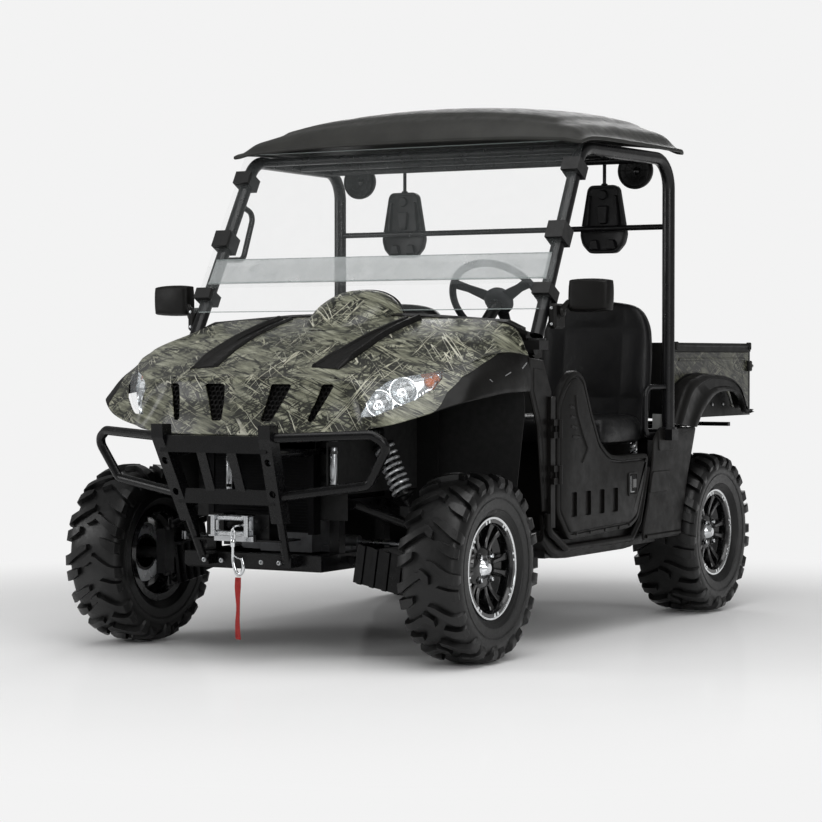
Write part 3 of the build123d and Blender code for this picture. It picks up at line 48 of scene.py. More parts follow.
# Looks of the side by side utility vehicle. Lengths are millimetres with x to the vehicle's left, y rearwards
# from the front axle and z up from the ground; place() turns them into the frame's metres.
AXLE_Y = -953.5
AXLE_Z = 317.5
WHEELBASE = 1955.0
LEFT, REAR, UP, FRONT, DOWN = (1, 0, 0), (0, 1, 0), (0, 0, 1), (0, -1, 0), (0, 0, -1)
SIDES = (-1, 1)


def place(x, y, z):
    return Vector((x, y + AXLE_Y, z)) * 0.001


def new_object(name, data):
    made = bpy.data.objects.new(name, data)
    bpy.context.scene.collection.objects.link(made)
    return made


# ------------------------------------------------------------------ camera
camera = new_object("camera", bpy.data.cameras.new("camera"))
camera.location = (4.591, -8.1905, 1.022)
camera.rotation_euler = (math.radians(90 - 1.268), 0, math.radians(29.776))
camera.data.lens = 108.07
camera.data.sensor_width = 36
camera.data.clip_end = 200
bpy.context.scene.camera = camera
bpy.context.scene.view_settings.view_transform = "Standard"


# ------------------------------------------------------------------ materials
looks = {}


def linear(code):
    """Linear colour of an sRGB code such as 8a8b78."""
    parts = [int(code[i:i + 2], 16) / 255 for i in (0, 2, 4)]
    return [p / 12.92 if p <= 0.04045 else ((p + 0.055) / 1.055) ** 2.4 for p in parts]


class Nodes:
    """Short way to write the node tree of a material or a world."""

    def __init__(self, owner):
        owner.use_nodes = True
        self.tree = owner.node_tree

    def add(self, kind, inputs=(), **settings):
        node = self.tree.nodes.new(kind)
        for key, value in settings.items():
            setattr(node, key, value)
        for key, value in dict(inputs).items():
            if isinstance(value, bpy.types.NodeSocket):
                self.tree.links.new(value, node.inputs[key])
            else:
                node.inputs[key].default_value = value
        return node

    def math(self, operation, *values):
        return self.add("ShaderNodeMath", dict(enumerate(values)), operation=operation).outputs[0]


class Look(Nodes):
    """Material with a principled shader, kept among the looks."""

    def __init__(self, name):
        looks[name] = bpy.data.materials.new(name)
        super().__init__(looks[name])
        self.shader = self.tree.nodes["Principled BSDF"]
        self.coordinate = self.add("ShaderNodeTexCoord").outputs["Object"]

    def mapped(self, turn=(0, 0, 0), scale=(1, 1, 1)):
        """The object's coordinates, turned first and scaled after."""
        turn = [math.radians(angle) for angle in turn]
        turned = self.add("ShaderNodeMapping", {"Vector": self.coordinate, "Rotation": turn})
        return self.add("ShaderNodeMapping", {"Vector": turned.outputs[0], "Scale": scale}).outputs[0]

    def noise(self, scale, detail=3.0, vector=None, rough=0.55, distortion=0.0):
        return self.add("ShaderNodeTexNoise", {"Vector": vector or self.coordinate, "Scale": scale,
                                               "Detail": detail, "Roughness": rough,
                                               "Distortion": distortion}).outputs["Fac"]

    def ramp(self, value, stops):
        node = self.add("ShaderNodeValToRGB", {"Fac": value})
        for n, (position, colour) in enumerate(stops):
            stop = node.color_ramp.elements[n] if n < 2 else node.color_ramp.elements.new(position)
            stop.position = position
            stop.color = list(colour) + [1]
        return node.outputs["Color"]

    def map(self, value, low, high, new_low, new_high, **settings):
        return self.add("ShaderNodeMapRange", {"Value": value, "From Min": low, "From Max": high,
                                               "To Min": new_low, "To Max": new_high}, **settings).outputs[0]

    def mix(self, share, first, second):
        """Colour between a linked first and a plain second, by a linked share."""
        node = self.add("ShaderNodeMix", data_type="RGBA")
        slots = {slot.identifier: slot for slot in node.inputs}
        self.tree.links.new(share, slots["Factor_Float"])
        self.tree.links.new(first, slots["A_Color"])
        slots["B_Color"].default_value = list(second) + [1]
        return next(o for o in node.outputs if o.identifier == "Result_Color")

    def link(self, value, socket):
        self.tree.links.new(value, self.shader.inputs[socket])

    def bump(self, height, strength, distance=0.001, before=None):
        inputs = {"Height": height, "Strength": strength, "Distance": distance}
        if before:
            inputs["Normal"] = before
        return self.add("ShaderNodeBump", inputs).outputs[0]

    def tint(self, value, colour, *stops):
        """Base colour that goes through shares of one colour as a value rises."""
        self.link(self.ramp(value, [(at, [min(1, c * share) for c in linear(colour)])
                                    for at, share in stops]),
                  "Base Color")

    def gloss(self, scale, smooth, rough, detail=4.0):
        """Roughness that varies in patches."""
        self.link(self.map(self.noise(scale, detail), 0.3, 0.7, smooth, rough), "Roughness")

    def levels(self, **levels):
        """Plain values of the shader's sockets, with _ for the blanks in their names."""
        for socket, value in levels.items():
            self.shader.inputs[socket.replace("_", " ")].default_value = value


def plain(name, colour, rough, metal=0.0, spread=0.22, grain=900.0, bump=0.12, coat=0.0, patch=14.0,
          rough_spread=0.09, specular=0.5):
    """Moulded, painted or cast surface: cloudy colour, uneven gloss and a fine grain."""
    n = Look(name)
    n.tint(n.noise(patch, 5.0), colour, (0.3, 1 - spread), (0.7, 1 + spread))
    n.gloss(patch * 3, max(0.02, rough - rough_spread), rough + rough_spread)
    if bump:
        n.link(n.bump(n.noise(grain, 2.0), bump), "Normal")
    n.levels(Metallic=metal, Coat_Weight=coat, Specular_IOR_Level=specular)


def pebbled(name, colour, rough, cell=420.0, bump=0.35, specular=0.22, crease=0.0):
    """Grained moulding or vinyl: a pebble texture over a cloudy colour."""
    n = Look(name)
    n.tint(n.noise(9.0, 5.0), colour, (0.3, 0.8), (0.72, 1.2))
    n.gloss(24.0, rough - 0.07, rough + 0.09)
    cells = n.add("ShaderNodeTexVoronoi", {"Vector": n.coordinate, "Scale": cell}, feature="SMOOTH_F1")
    normal = n.bump(cells.outputs["Distance"], bump, 0.0006)
    if crease:
        normal = n.bump(n.noise(26.0, 6.0, rough=0.6, distortion=0.7), crease, 0.004, normal)
    n.link(normal, "Normal")
    n.levels(Specular_IOR_Level=specular)


# tones of the base from dark to pale, and layers of straight reeds: slant, scale along the two slow axes,
# scale across, half width, tone, and the range of the patches in which they show
CAMOUFLAGE_BASE = [(0.30, "36372d"), (0.41, "5e5f50"), (0.52, "7d7e6c"), (0.64, "a1a28f")]
CAMOUFLAGE_REEDS = [((20, -20, 0), 4.0, 46, 0.030, "1d1e17", (0.30, 0.42)),
                    ((-32, 26, 0), 4.6, 42, 0.028, "171811", (0.45, 0.53)),
                    ((54, 16, 0), 4.4, 44, 0.028, "20211a", (0.36, 0.48)),
                    ((12, -58, 0), 5.0, 40, 0.026, "15160f", (0.42, 0.54)),
                    ((36, 52, 0), 5.0, 38, 0.026, "191a13", (0.47, 0.56)),
                    ((-8, 12, 0), 3.0, 52, 0.028, "26271f", (0.40, 0.50)),
                    ((14, -26, 0), 1.2, 28, 0.0066, "a3a28d", (0.40, 0.51)),
                    ((-24, 44, 0), 0.9, 22, 0.0052, "b3b29e", (0.46, 0.54)),
                    ((40, -48, 0), 0.8, 16, 0.0044, "c6c5b4", (0.50, 0.57))]


def camouflage(name, shade=1.0):
    """Reed and grass pattern: thin dark lines and pale stalks along several slants over a streaked base."""
    n = Look(name)
    colour = n.ramp(n.noise(1.0, 5.0, n.mapped((24, -22, 0), (6, 9, 52)), 0.66, 0.1),
                    [(at, [c * shade for c in linear(tone)]) for at, tone in CAMOUFLAGE_BASE])
    patches = n.noise(7.0, 2.0)
    for turn, along, across, half, tone, (low, high) in CAMOUFLAGE_REEDS:
        field = n.noise(1.0, 2.0, n.mapped(turn, (along, along, across)), 0.45, 0.0)
        away = n.math("ABSOLUTE", n.math("SUBTRACT", field, 0.5))
        line = n.map(away, half * 0.7, half, 1.0, 0.0)
        share = n.math("MULTIPLY", line, n.map(patches, low, high, 0.0, 1.0))
        colour = n.mix(share, colour, [c * shade for c in linear(tone)])
    speck = n.ramp(n.noise(260.0, 3.0), [(0.35, (0.7, 0.7, 0.7)), (0.65, (1, 1, 1))])
    n.link(n.add("ShaderNodeVectorMath", {0: colour, 1: speck}, operation="MULTIPLY").outputs[0],
           "Base Color")
    n.gloss(40.0, 0.28, 0.44)
    n.link(n.bump(n.noise(700.0, 2.0), 0.06), "Normal")
    n.levels(Specular_IOR_Level=0.4, Coat_Weight=0.2, Coat_Roughness=0.15)


def clear(name, colour, alpha, rough, patch=3.0):
    """Clear sheet: faint haze that varies a little, and a gloss."""
    n = Look(name)
    n.tint(n.noise(patch, 3.0), colour, (0.3, 1), (0.7, 1.08))
    n.link(n.map(n.noise(patch * 5, 3.0), 0.3, 0.7, alpha * 0.85, alpha * 1.15), "Alpha")
    n.levels(Roughness=rough)


def banded(name, colour, pitch, turn, stops, bump, gloss, metal=0.0, **settings):
    """Weave of a webbing or thin fins of a metal core: even bands, sunk between the lines."""
    n = Look(name)
    bands = n.add("ShaderNodeTexWave", {"Vector": n.mapped(turn), "Scale": 0.5 / pitch}, wave_type="BANDS",
                  **settings).outputs["Fac"]
    n.tint(bands, colour, *stops)
    n.gloss(*gloss, detail=3.0)
    n.link(n.bump(bands, *bump), "Normal")
    n.levels(Metallic=metal)


plain("frame_steel", "0a0a0b", 0.34, grain=500, bump=0.08, spread=0.3, specular=0.22)
plain("cage_steel", "101011", 0.32, grain=600, bump=0.08, coat=0.1, spread=0.25, specular=0.26)
pebbled("skid_plastic", "0c0c0c", 0.55)
pebbled("roof_plastic", "2c2c2a", 0.46, 500.0, 0.3)
clear("clear_sheet", "a8adad", 0.035, 0.04)
plain("clamp_rubber", "0e0e0e", 0.62, grain=400, bump=0.2)
camouflage("camo_plastic")
# darker copy of the camouflage for the bed's side skins: painted shade, since those sides get less light
camouflage("camo_shaded", 0.55)
plain("bumper_paint", "080809", 0.26, grain=500, bump=0.04, spread=0.3, specular=0.24)
pebbled("black_plastic", "0d0c0b", 0.42, 460.0, 0.2, specular=0.17)
plain("gloss_black", "0c0c0c", 0.2, coat=0.3, bump=0.03)
clear("lamp_lens", "dfe4e6", 0.10, 0.02, 12.0)
plain("lamp_chrome", "e3e6e8", 0.1, metal=1.0, spread=0.06, bump=0.03, rough_spread=0.05)
pebbled("floor_plastic", "121212", 0.6, 200.0, 0.5)
pebbled("seat_vinyl", "0f0f10", 0.38, 520.0, 0.4, crease=0.25)
banded("strap_webbing", "a3201c", 0.0022, (0, 0, 45), [(0.1, 0.55), (0.8, 1)], (0.5, 0.0006),
       (60.0, 0.65, 0.9))
plain("bright_steel", "b9bbbd", 0.3, metal=1.0, spread=0.15, grain=300, bump=0.08)
plain("chrome_steel", "d4d6d8", 0.12, metal=1.0, spread=0.1, bump=0.03, rough_spread=0.05)
banded("radiator_metal", "1d1d1f", 0.004, (0, 0, 0), [(0.2, 0.25), (0.7, 1)], (0.8, 0.001), (30.0, 0.4, 0.6),
       0.8, bands_direction="Z")
plain("cast_alloy", "77787a", 0.5, metal=0.9, grain=180, bump=0.35, spread=0.25)
plain("cast_iron", "343435", 0.55, metal=0.6, grain=160, bump=0.4, spread=0.3)
plain("spring_steel", "c4c6c8", 0.28, metal=0.55, coat=0.3, spread=0.12, bump=0.04)
pebbled("wheel_foam", "26272a", 0.5, 600.0, 0.3)
plain("black_alloy", "0a0a0b", 0.22, metal=0.2, coat=0.5, bump=0.03, spread=0.2)
plain("tyre_rubber", "0c0c0c", 0.38, grain=350, bump=0.25, spread=0.35, patch=30.0, specular=0.38)
pebbled("bed_plastic", "131312", 0.5, 300.0, 0.35)
plain("red_lens", "8e1413", 0.12, coat=0.6, bump=0.0, patch=60.0)
plain("machined", "dfe1e2", 0.2, metal=1.0, grain=220, bump=0.05, spread=0.08, rough_spread=0.07)
plain("amber", "e07018", 0.16, coat=0.6, bump=0.0, patch=60.0)
plain("dark_gap", "0b0b0b", 0.8, bump=0.1)
plain("gauge_face", "0e0f10", 0.1, coat=0.8, bump=0.0)
plain("dull_silver", "9b9c9d", 0.34, metal=0.8, spread=0.15, bump=0.06)
# pale half see-through sheet over the band where the windshield panes overlap: painted reflection that
# lightens the band
clear("hazy_sheet", "b2b6b6", 0.50, 0.06)
# pale see-through lines on the windshield panes' edges: painted highlights
clear("edge_sheet", "aab4b2", 0.55, 0.1, 20.0)
plain("mirror_glass", "c9ced2", 0.03, metal=1.0, bump=0.0, spread=0.04, rough_spread=0.02)
plain("blank_plate", "8c8d8b", 0.4, metal=0.3, spread=0.1, bump=0.05)
for row in frame["record"]["subparts"]:
    node = frame["nodes"][row["node"]]
    node.data.materials.clear()
    node.data.materials.append(looks[row["material_slot"]])


# ------------------------------------------------------------------ lines and grids
def smooth_line(points, steps, closed=False):
    """Points along a Catmull-Rom curve through the given points."""
    points = [Vector(p) for p in points]
    count = len(points)
    line = []
    for n in range(count if closed else count - 1):
        if closed:
            a, b, c, d = (points[(n + k) % count] for k in (-1, 0, 1, 2))
        else:
            b, c = points[n], points[n + 1]
            a = points[n - 1] if n else b * 2 - c
            d = points[n + 2] if n + 2 < count else c * 2 - b
        for step in range(steps):
            t = step / steps
            line.append(0.5 * (2 * b + (c - a) * t + (2 * a - 5 * b + 4 * c - d) * t * t
                               + (3 * b - a - 3 * c + d) * t ** 3))
    if not closed:
        line.append(points[-1])
    return line


def smooth_outline(points, steps, closed=False):
    """The same for flat points of two numbers."""
    return [(p.x, p.y) for p in smooth_line([(u, v, 0) for u, v in points], steps, closed)]


def fine_grid(rows, across, along):
    """Grid with each row and then each column made finer; across 0 leaves the rows as they are."""
    lines = [smooth_line(row, across) if across else row for row in rows]
    return [list(row) for row in zip(*[smooth_line(column, along) for column in zip(*lines)])]


def grid_edge(rows):
    """Points round the edge of a grid."""
    inner = range(len(rows) - 2, 0, -1)
    return rows[0] + [row[-1] for row in rows[1:]] + rows[-1][-2::-1] + [rows[n][0] for n in inner]


def circle(count, start=0.0):
    """Angles round a circle."""
    return [start + 2 * math.pi * n / count for n in range(count)]


def both_halves(half):
    """Outline of (x, z) from the mirror image's far end to the half's own."""
    return [(-x, z) for x, z in reversed(half)] + [p for p in half if p[0] > 0]


def inset(outline, distance):
    """Closed outline of flat points moved inwards by a distance."""
    points = [Vector(p) for p in outline]
    area = sum(outline[n - 1][0] * outline[n][1] - outline[n][0] * outline[n - 1][1]
               for n in range(len(outline)))
    sign = 1 if area > 0 else -1
    moved = []
    for n, point in enumerate(points):
        before = point - points[n - 1]
        after = points[(n + 1) % len(points)] - point
        first = Vector((-before.y, before.x)).normalized() * sign
        second = Vector((-after.y, after.x)).normalized() * sign
        way = (first + second).normalized()
        moved.append(tuple(point + way * (distance / max(0.55, way.dot(first)))))
    return moved


def cornered(points, radius):
    """Outline with each corner cut back and rounded by three points."""
    line = []
    for n, point in enumerate(points):
        p, a, b = Vector(point), Vector(points[n - 1]), Vector(points[(n + 1) % len(points)])
        back = min(radius, (a - p).length * 0.45)
        ahead = min(radius, (b - p).length * 0.45)
        first, last = p + (a - p).normalized() * back, p + (b - p).normalized() * ahead
        for t in (0.0, 0.33, 0.67, 1.0):
            line.append(tuple(first * (1 - t) ** 2 + p * 2 * t * (1 - t) + last * t * t))
    return line


# ------------------------------------------------------------------ mesh building
def new_solid(name, points, faces, finish=(), materials=()):
    """New object of these faces, with its normals outwards."""
    mesh = bpy.data.meshes.new(name)
    mesh.from_pydata(points, [], faces)
    mesh.validate()
    for look in materials:
        mesh.materials.append(looks[look])
    if len(mesh.polygons) == len(finish):
        mesh.polygons.foreach_set("material_index", finish)
    piece = new_object(name, mesh)
    bpy.context.view_layer.objects.active = piece
    piece.select_set(True)
    bpy.ops.object.mode_set(mode="EDIT")
    bpy.ops.mesh.select_all(action="SELECT")
    bpy.ops.mesh.normals_make_consistent(inside=False)
    bpy.ops.object.mode_set(mode="OBJECT")
    piece.select_set(False)
    return piece


def round_edges(piece, width, angle):
    rounding = piece.modifiers.new("edges", "BEVEL")
    rounding.width = width * 0.001
    rounding.segments = 2
    rounding.limit_method = "ANGLE"
    rounding.angle_limit = math.radians(angle)
    rounding.harden_normals = True


def evaluated_mesh(piece):
    return bpy.data.meshes.new_from_object(piece.evaluated_get(bpy.context.evaluated_depsgraph_get()))


class Build:
    """Collects faces in millimetres and turns them into one piece."""

    def __init__(self):
        self.points = []
        self.faces = []
        self.finish = []

    def add(self, points, faces, finish=0):
        start = len(self.points)
        self.points += [tuple(p) for p in points]
        self.faces += [tuple(start + i for i in f) for f in faces]
        self.finish += [finish] * len(faces)
        return self

    def loft(self, rings, finish=0, caps=True, around=True, along=False):
        """Skin through rows of points; around joins each row's ends, along joins the last row to the first."""
        count, width = len(rings), len(rings[0])
        faces = []
        for n in range(count if along else count - 1):
            for k in range(width if around else width - 1):
                after, beside = (n + 1) % count * width, (k + 1) % width
                faces.append((n * width + k, n * width + beside, after + beside, after + k))
        if caps and around and not along:
            faces.append(tuple(reversed(range(width))))
            faces.append(tuple(range((count - 1) * width, count * width)))
        return self.add([p for ring in rings for p in ring], faces, finish)

    def lathe(self, profile, origin=(0, 0, 0), axis=LEFT, count=48, finish=0, closed=False):
        """Turned form: profile of (distance along the axis, radius)."""
        origin, axis = Vector(origin), Vector(axis).normalized()
        side = axis.orthogonal().normalized()
        up = axis.cross(side)
        rings = []
        for turn in circle(count):
            out = side * math.cos(turn) + up * math.sin(turn)
            rings.append([origin + axis * h + out * r for h, r in profile])
        return self.loft(rings, finish, caps=False, around=closed, along=True)

    def pipe(self, line, radius, count=10, finish=0, closed=False):
        """Round bar along a line; radius is one number or one for each point."""
        line = [Vector(p) for p in line]
        radii = radius if isinstance(radius, list) else [radius] * len(line)
        last = len(line) - 1
        normal = None
        rings = []
        for n, point in enumerate(line):
            ahead = line[(n + 1) % len(line)] if closed or n < last else point
            back = line[n - 1] if closed or n else point
            way = (ahead - back).normalized()
            normal = way.orthogonal() if normal is None else normal - way * normal.dot(way)
            normal.normalize()
            side = way.cross(normal)
            rings.append([point + (normal * math.cos(a) + side * math.sin(a)) * radii[n]
                          for a in circle(count)])
        return self.loft(rings, finish, along=closed)

    def block(self, low, high, edge=3.0, finish=0, turn=None):
        """Box with chamfered edges and corners; turn is a matrix put on it afterwards."""
        ends = Vector(low), Vector(high)
        edge = min([edge] + [abs(ends[1][k] - ends[0][k]) * 0.45 for k in range(3)])
        # three points at each corner, one on each face that meets there
        points = [Vector([ends[s][k] + (0 if k == flat else -edge if s else edge)
                          for k, s in enumerate(corner)])
                  for corner in product((0, 1), repeat=3) for flat in range(3)]

        def index(flat, s, u, v, which):
            key = [u, v]
            key.insert(flat, s)
            return (key[0] * 4 + key[1] * 2 + key[2]) * 3 + which

        faces = []
        for flat, a, b in ((0, 1, 2), (1, 0, 2), (2, 0, 1)):
            faces += [[index(flat, s, u, v, flat) for u, v in ((0, 0), (1, 0), (1, 1), (0, 1))]
                      for s in (0, 1)]
            faces += [[index(flat, s, u, v, which) for s, which in ((0, a), (0, b), (1, b), (1, a))]
                      for u, v in product((0, 1), repeat=2)]
        faces += [[3 * corner + flat for flat in range(3)] for corner in range(8)]
        return self.add([turn @ p for p in points] if turn else points, faces, finish)

    def prism(self, outline, lift, finish=0, edge=0.0):
        """Plate: outline of points, lifted along one direction, with a chamfer on the lifted face."""
        outline = [Vector(p) for p in outline]
        lift = Vector(lift)
        if not edge:
            return self.loft([outline, [p + lift for p in outline]], finish)
        middle = sum(outline, Vector()) / len(outline)
        way = lift.normalized()
        inward = []
        for n, p in enumerate(outline):
            first = (p - outline[n - 1]).normalized().cross(way)
            second = (outline[(n + 1) % len(outline)] - p).normalized().cross(way)
            turn = (first + second).normalized()
            inward.append(turn * (edge / max(0.4, math.sqrt(max(0.0, (1 + first.dot(second)) / 2)))))
        sign = 1 if sum(t.dot(middle - p) for t, p in zip(inward, outline)) > 0 else -1
        return self.loft([outline, [p + lift * (1 - edge / lift.length) for p in outline],
                          [p + lift + t * sign for p, t in zip(outline, inward)]], finish)

    def nut(self, profile, origin, axis=LEFT, finish=0):
        """Six sided head."""
        return self.lathe(profile, origin, axis, 6, finish)

    def mirrored(self):
        """Adds the mirror image across the middle plane."""
        finish = self.finish * 2
        self.add([(-x, y, z) for x, y, z in self.points], [tuple(reversed(f)) for f in self.faces])
        self.finish = finish
        return self

    def make(self, name, finishes, nodes="", body="chassis", sharp=35.0, bevel=0.0, slot=None, moved=None):
        """The piece. It stands for the named nodes, or else for the node of its own name, if there is one."""
        finishes = finishes.split()
        points = [moved(p) if moved else place(*p) for p in self.points]
        piece = new_solid(name, points, self.faces, self.finish, finishes)
        piece.data.polygons.foreach_set("use_smooth", [True] * len(piece.data.polygons))
        if sharp:
            piece.data.set_sharp_from_angle(angle=math.radians(sharp))
        if bevel:
            round_edges(piece, bevel, 32)
        nodes = nodes.split() or [node for node in [name] if node in frame["nodes"]]
        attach(piece, body)
        if nodes:
            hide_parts(*nodes)
        return piece


def mirror_copy(source, name, body, nodes=()):
    """Mirror image of a piece across the middle plane, as a piece of its own."""
    settings = {"BEVEL": ("width", "segments", "limit_method", "angle_limit", "harden_normals"),
                "SUBSURF": ("levels", "render_levels")}
    mesh = source.data.copy()
    mesh.transform(Matrix.Scale(-1, 4, LEFT))
    mesh.flip_normals()
    other = new_object(name, mesh)
    for modifier in source.modifiers:
        copy = other.modifiers.new(modifier.name, modifier.type)
        for key in settings[modifier.type]:
            setattr(copy, key, getattr(modifier, key))
    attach(other, body)
    if nodes:
        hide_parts(*nodes)
    return other


def cutter(points, lift):
    """Closed prism to cut with."""
    b = Build().prism(points, lift)
    return new_solid("cutter", [place(*p) for p in b.points], b.faces)


def boolean(piece, operation, other):
    knife = piece.modifiers.new("cut", "BOOLEAN")
    knife.operation = operation
    knife.solver = "EXACT"
    knife.object = other


def cut(piece, cutters):
    """Cuts closed meshes out of a piece, applies its modifiers and keeps its object."""
    for tool in cutters:
        boolean(piece, "DIFFERENCE", tool)
    bpy.context.view_layer.update()
    done = evaluated_mesh(piece)
    piece.modifiers.clear()
    old = piece.data
    piece.data = done
    done.name = piece.name
    bpy.data.meshes.remove(old)
    done.set_sharp_from_angle(angle=math.radians(35))


def remove(tools):
    for tool in tools:
        bpy.data.objects.remove(tool)


# ------------------------------------------------------------------ wheels
LUGS = 26
PITCH = 360 / LUGS
# share of the half width, base radius, top radius, turn in degrees, half angle of the base and of the top
LONG_LUG = [(0.06, 296, 316.5, 0.0, 2.3, 1.5), (0.30, 296, 317.4, 2.0, 3.2, 2.4),
            (0.58, 294, 316.0, 5.6, 3.3, 2.6), (0.80, 288, 311.5, 8.4, 3.7, 3.0),
            (0.95, 277, 303.0, 9.8, 4.1, 3.3), (1.015, 262, 287.0, 10.2, 4.2, 3.3),
            (1.01, 246, 262.0, 10.2, 3.6, 2.4)]
SHORT_LUG = [(0.42, 295, 316.5, 2.5, 2.6, 1.8), (0.62, 293, 315.6, 4.4, 3.6, 2.9),
             (0.82, 287, 310.8, 6.0, 4.0, 3.2), (0.95, 277, 302.0, 6.8, 4.2, 3.4),
             (1.01, 262, 284.0, 7.0, 3.8, 2.8)]
MIDDLE_LUG = [(-0.17, 296, 316.6, -2.2, 3.0, 2.2), (0.0, 296, 317.4, 0.0, 3.6, 2.9),
              (0.17, 296, 316.6, 2.2, 3.0, 2.2)]
SHOULDER = 0.9


def lug(stations, start, half, side):
    rings = []
    for share, base, top, turn, wide, narrow in stations:
        ring = []
        for radius, angle, push in ((base, -wide, -6), (top, -narrow, 3), (top, narrow, 3), (base, wide, -6)):
            a = math.radians(start + turn + angle)
            x = share * half + (push if share > SHOULDER else 0)
            ring.append((side * x, radius * math.cos(a), radius * math.sin(a)))
        rings.append(ring)
    return rings


def tyre_piece(name, body, moved, width, rim_width):
    """Tyre with a moulded sidewall and staggered, hooked lugs that wrap over the shoulders."""
    b = Build()
    half = width / 2
    bead = rim_width / 2 - 6.3
    # distance from the middle, radius
    wall = [(bead, 154), (bead + 2, 172), (bead + 7, 181), (half * 0.93, 196), (half * 0.955, 200),
            (half * 0.975, 222), (half * 0.995, 240), (half, 252), (half * 0.985, 262), (half * 0.93, 278),
            (half * 0.82, 291), (half * 0.55, 298), (0, 300.5)]
    line = smooth_outline(wall, 3)
    ring = line + [(-x, r) for x, r in reversed(line[:-1])] + [(-bead + 1, 153), (bead - 1, 153)]
    b.lathe(ring, count=104, closed=True)
    # thin moulded rings on the sidewall
    for radius, height in ((188, 1.6), (232, 1.2), (236, 1.2)):
        low = min(line, key=lambda p: abs(p[1] - radius))[0]
        for s in SIDES:
            b.lathe([(s * (low - 2), radius - 2), (s * (low + height), radius - 1),
                     (s * (low + height), radius + 1), (s * (low - 2), radius + 2)], count=96, closed=True)
    for n in range(LUGS):
        for s in SIDES:
            b.loft(lug(LONG_LUG if (n + (s > 0)) % 2 else SHORT_LUG, n * PITCH + (PITCH / 2 if s > 0 else 0),
                       half, s))
        if n % 2:
            b.loft(lug(MIDDLE_LUG, n * PITCH + PITCH * 0.1, half, 1))
    b.make(name, "tyre_rubber", body=body, sharp=32, bevel=1.6, moved=moved)


# arms of the rim: radius, height of the face, distance from the pair's middle line, half width
ARM = [(40, 4, 12, 11), (64, -1, 12.5, 9), (90, -3, 16, 8), (118, 2, 21, 8.5), (138, 8, 27, 11),
       (148, 12, 33, 16)]


def rim_piece(name, body, moved, width):
    """Black alloy with a machined lip, six split spokes, wheel nuts, faceted cap and a brake disc."""
    bright, chrome, rubber, steel = 1, 2, 3, 4
    b = Build()
    half = width / 2
    face = half - 34
    b.lathe([(-half, 172.5), (-half + 5, 172.5), (-half + 7, 155), (-half + 40, 151), (-half + 62, 131),
             (half - 62, 131), (half - 42, 151), (half - 9, 153), (half - 6, 172.5), (half - 1, 172.5),
             (half, 169), (half - 4, 160), (half - 14, 148), (half - 44, 146), (half - 62, 125),
             (-half + 62, 125), (-half + 42, 146), (-half, 148)], count=96, closed=True)
    b.lathe([(half - 2, 164), (half - 1, 172), (half + 1.2, 171.4), (half + 1.0, 165), (half - 1, 163)],
            count=96, finish=bright, closed=True)
    b.lathe([(half - 12, 148), (half - 2, 152), (half - 1, 163), (half - 4, 164)], count=96, closed=True)
    # paired tabs on the lip
    for n in range(16):
        turn = Matrix.Rotation(math.radians((n // 2) * 45 + (4.0 if n % 2 else -4.0) + 11), 4, "X")
        b.block((half - 8, 152, -4.5), (half + 0.9, 165, 4.5), 1.2, bright, turn)
    for n in range(12):
        angle = math.radians((n // 2) * 60)
        out = Vector((0, math.cos(angle), math.sin(angle)))
        across = Vector((0, -math.sin(angle), math.cos(angle))) * (1 if n % 2 else -1)
        rings = []
        for radius, lift, apart, wide in ARM:
            middle = out * radius + across * apart
            section = ((-1, wide + 1, lift - 20), (-1, wide, lift - 3), (-1, wide - 3, lift),
                       (1, wide - 3, lift), (1, wide, lift - 3), (1, wide + 1, lift - 20))
            rings.append([middle + across * s * w + Vector((face + h, 0, 0)) for s, w, h in section])
        b.loft(rings)
    b.lathe([(face - 26, 0), (face - 26, 72), (face - 12, 76), (face - 2, 70), (face + 4, 60), (face + 5, 36),
             (face + 1, 32), (face + 1, 0)], count=64)
    for n in range(4):
        a = math.radians(45 + 90 * n)
        middle = Vector((face, 55 * math.cos(a), 55 * math.sin(a)))
        b.lathe([(3, 14), (7, 14), (7, 11.5), (2, 11.5)], middle, count=24, closed=True)
        b.nut([(0, 9.5), (12, 9.5), (17, 7), (19, 0)], middle, finish=chrome)
    b.lathe([(-2, 32), (3, 32), (6, 30), (12, 27), (20, 19), (23, 16), (23, 0)], (face, 0, 0), count=12,
            finish=chrome)
    b.nut([(0, 14), (2.5, 13), (3.2, 0)], (face + 22, 0, 0), finish=chrome)
    b.pipe([(half - 22, 0, -147), (half - 6, 0, -143), (half + 4, 0, -139)], [3.6, 3.4, 3.0], finish=rubber)
    # brake disc inside the barrel
    b.lathe([(-22, 60), (-22, 106), (-17, 106), (-17, 60)], count=64, finish=steel, closed=True)
    b.lathe([(face - 40, 50), (-24, 56), (-24, 66), (face - 24, 66)], count=32, closed=True)
    b.make(name, "black_alloy machined chrome_steel tyre_rubber bright_steel", body=body, sharp=32, bevel=0.9,
           moved=moved)


def wheel_place(side, wheel_x, wheel_y):
    return lambda p: place(side * (wheel_x + p[0]), wheel_y + p[1], AXLE_Z + p[2])


for end, wheel_x, wheel_y, tyre_width, rim_width in (("front", 674.5, 0.0, 214.0, 175.0),
                                                     ("rear", 637.0, WHEELBASE, 254.0, 200.0)):
    for side_name, side in (("left", 1), ("right", -1)):
        corner = end + "_" + side_name
        moved = wheel_place(side, wheel_x, wheel_y)
        tyre_piece(corner + "_tyre", corner + "_wheel", moved, tyre_width, rim_width)
        rim_piece(corner + "_rim", corner + "_wheel", moved, rim_width)


# ------------------------------------------------------------------ springs
COIL_RADIUS, WIRE_RADIUS, COIL_TURNS, COIL_STEPS = 33.0, 5.4, 8.0, 26


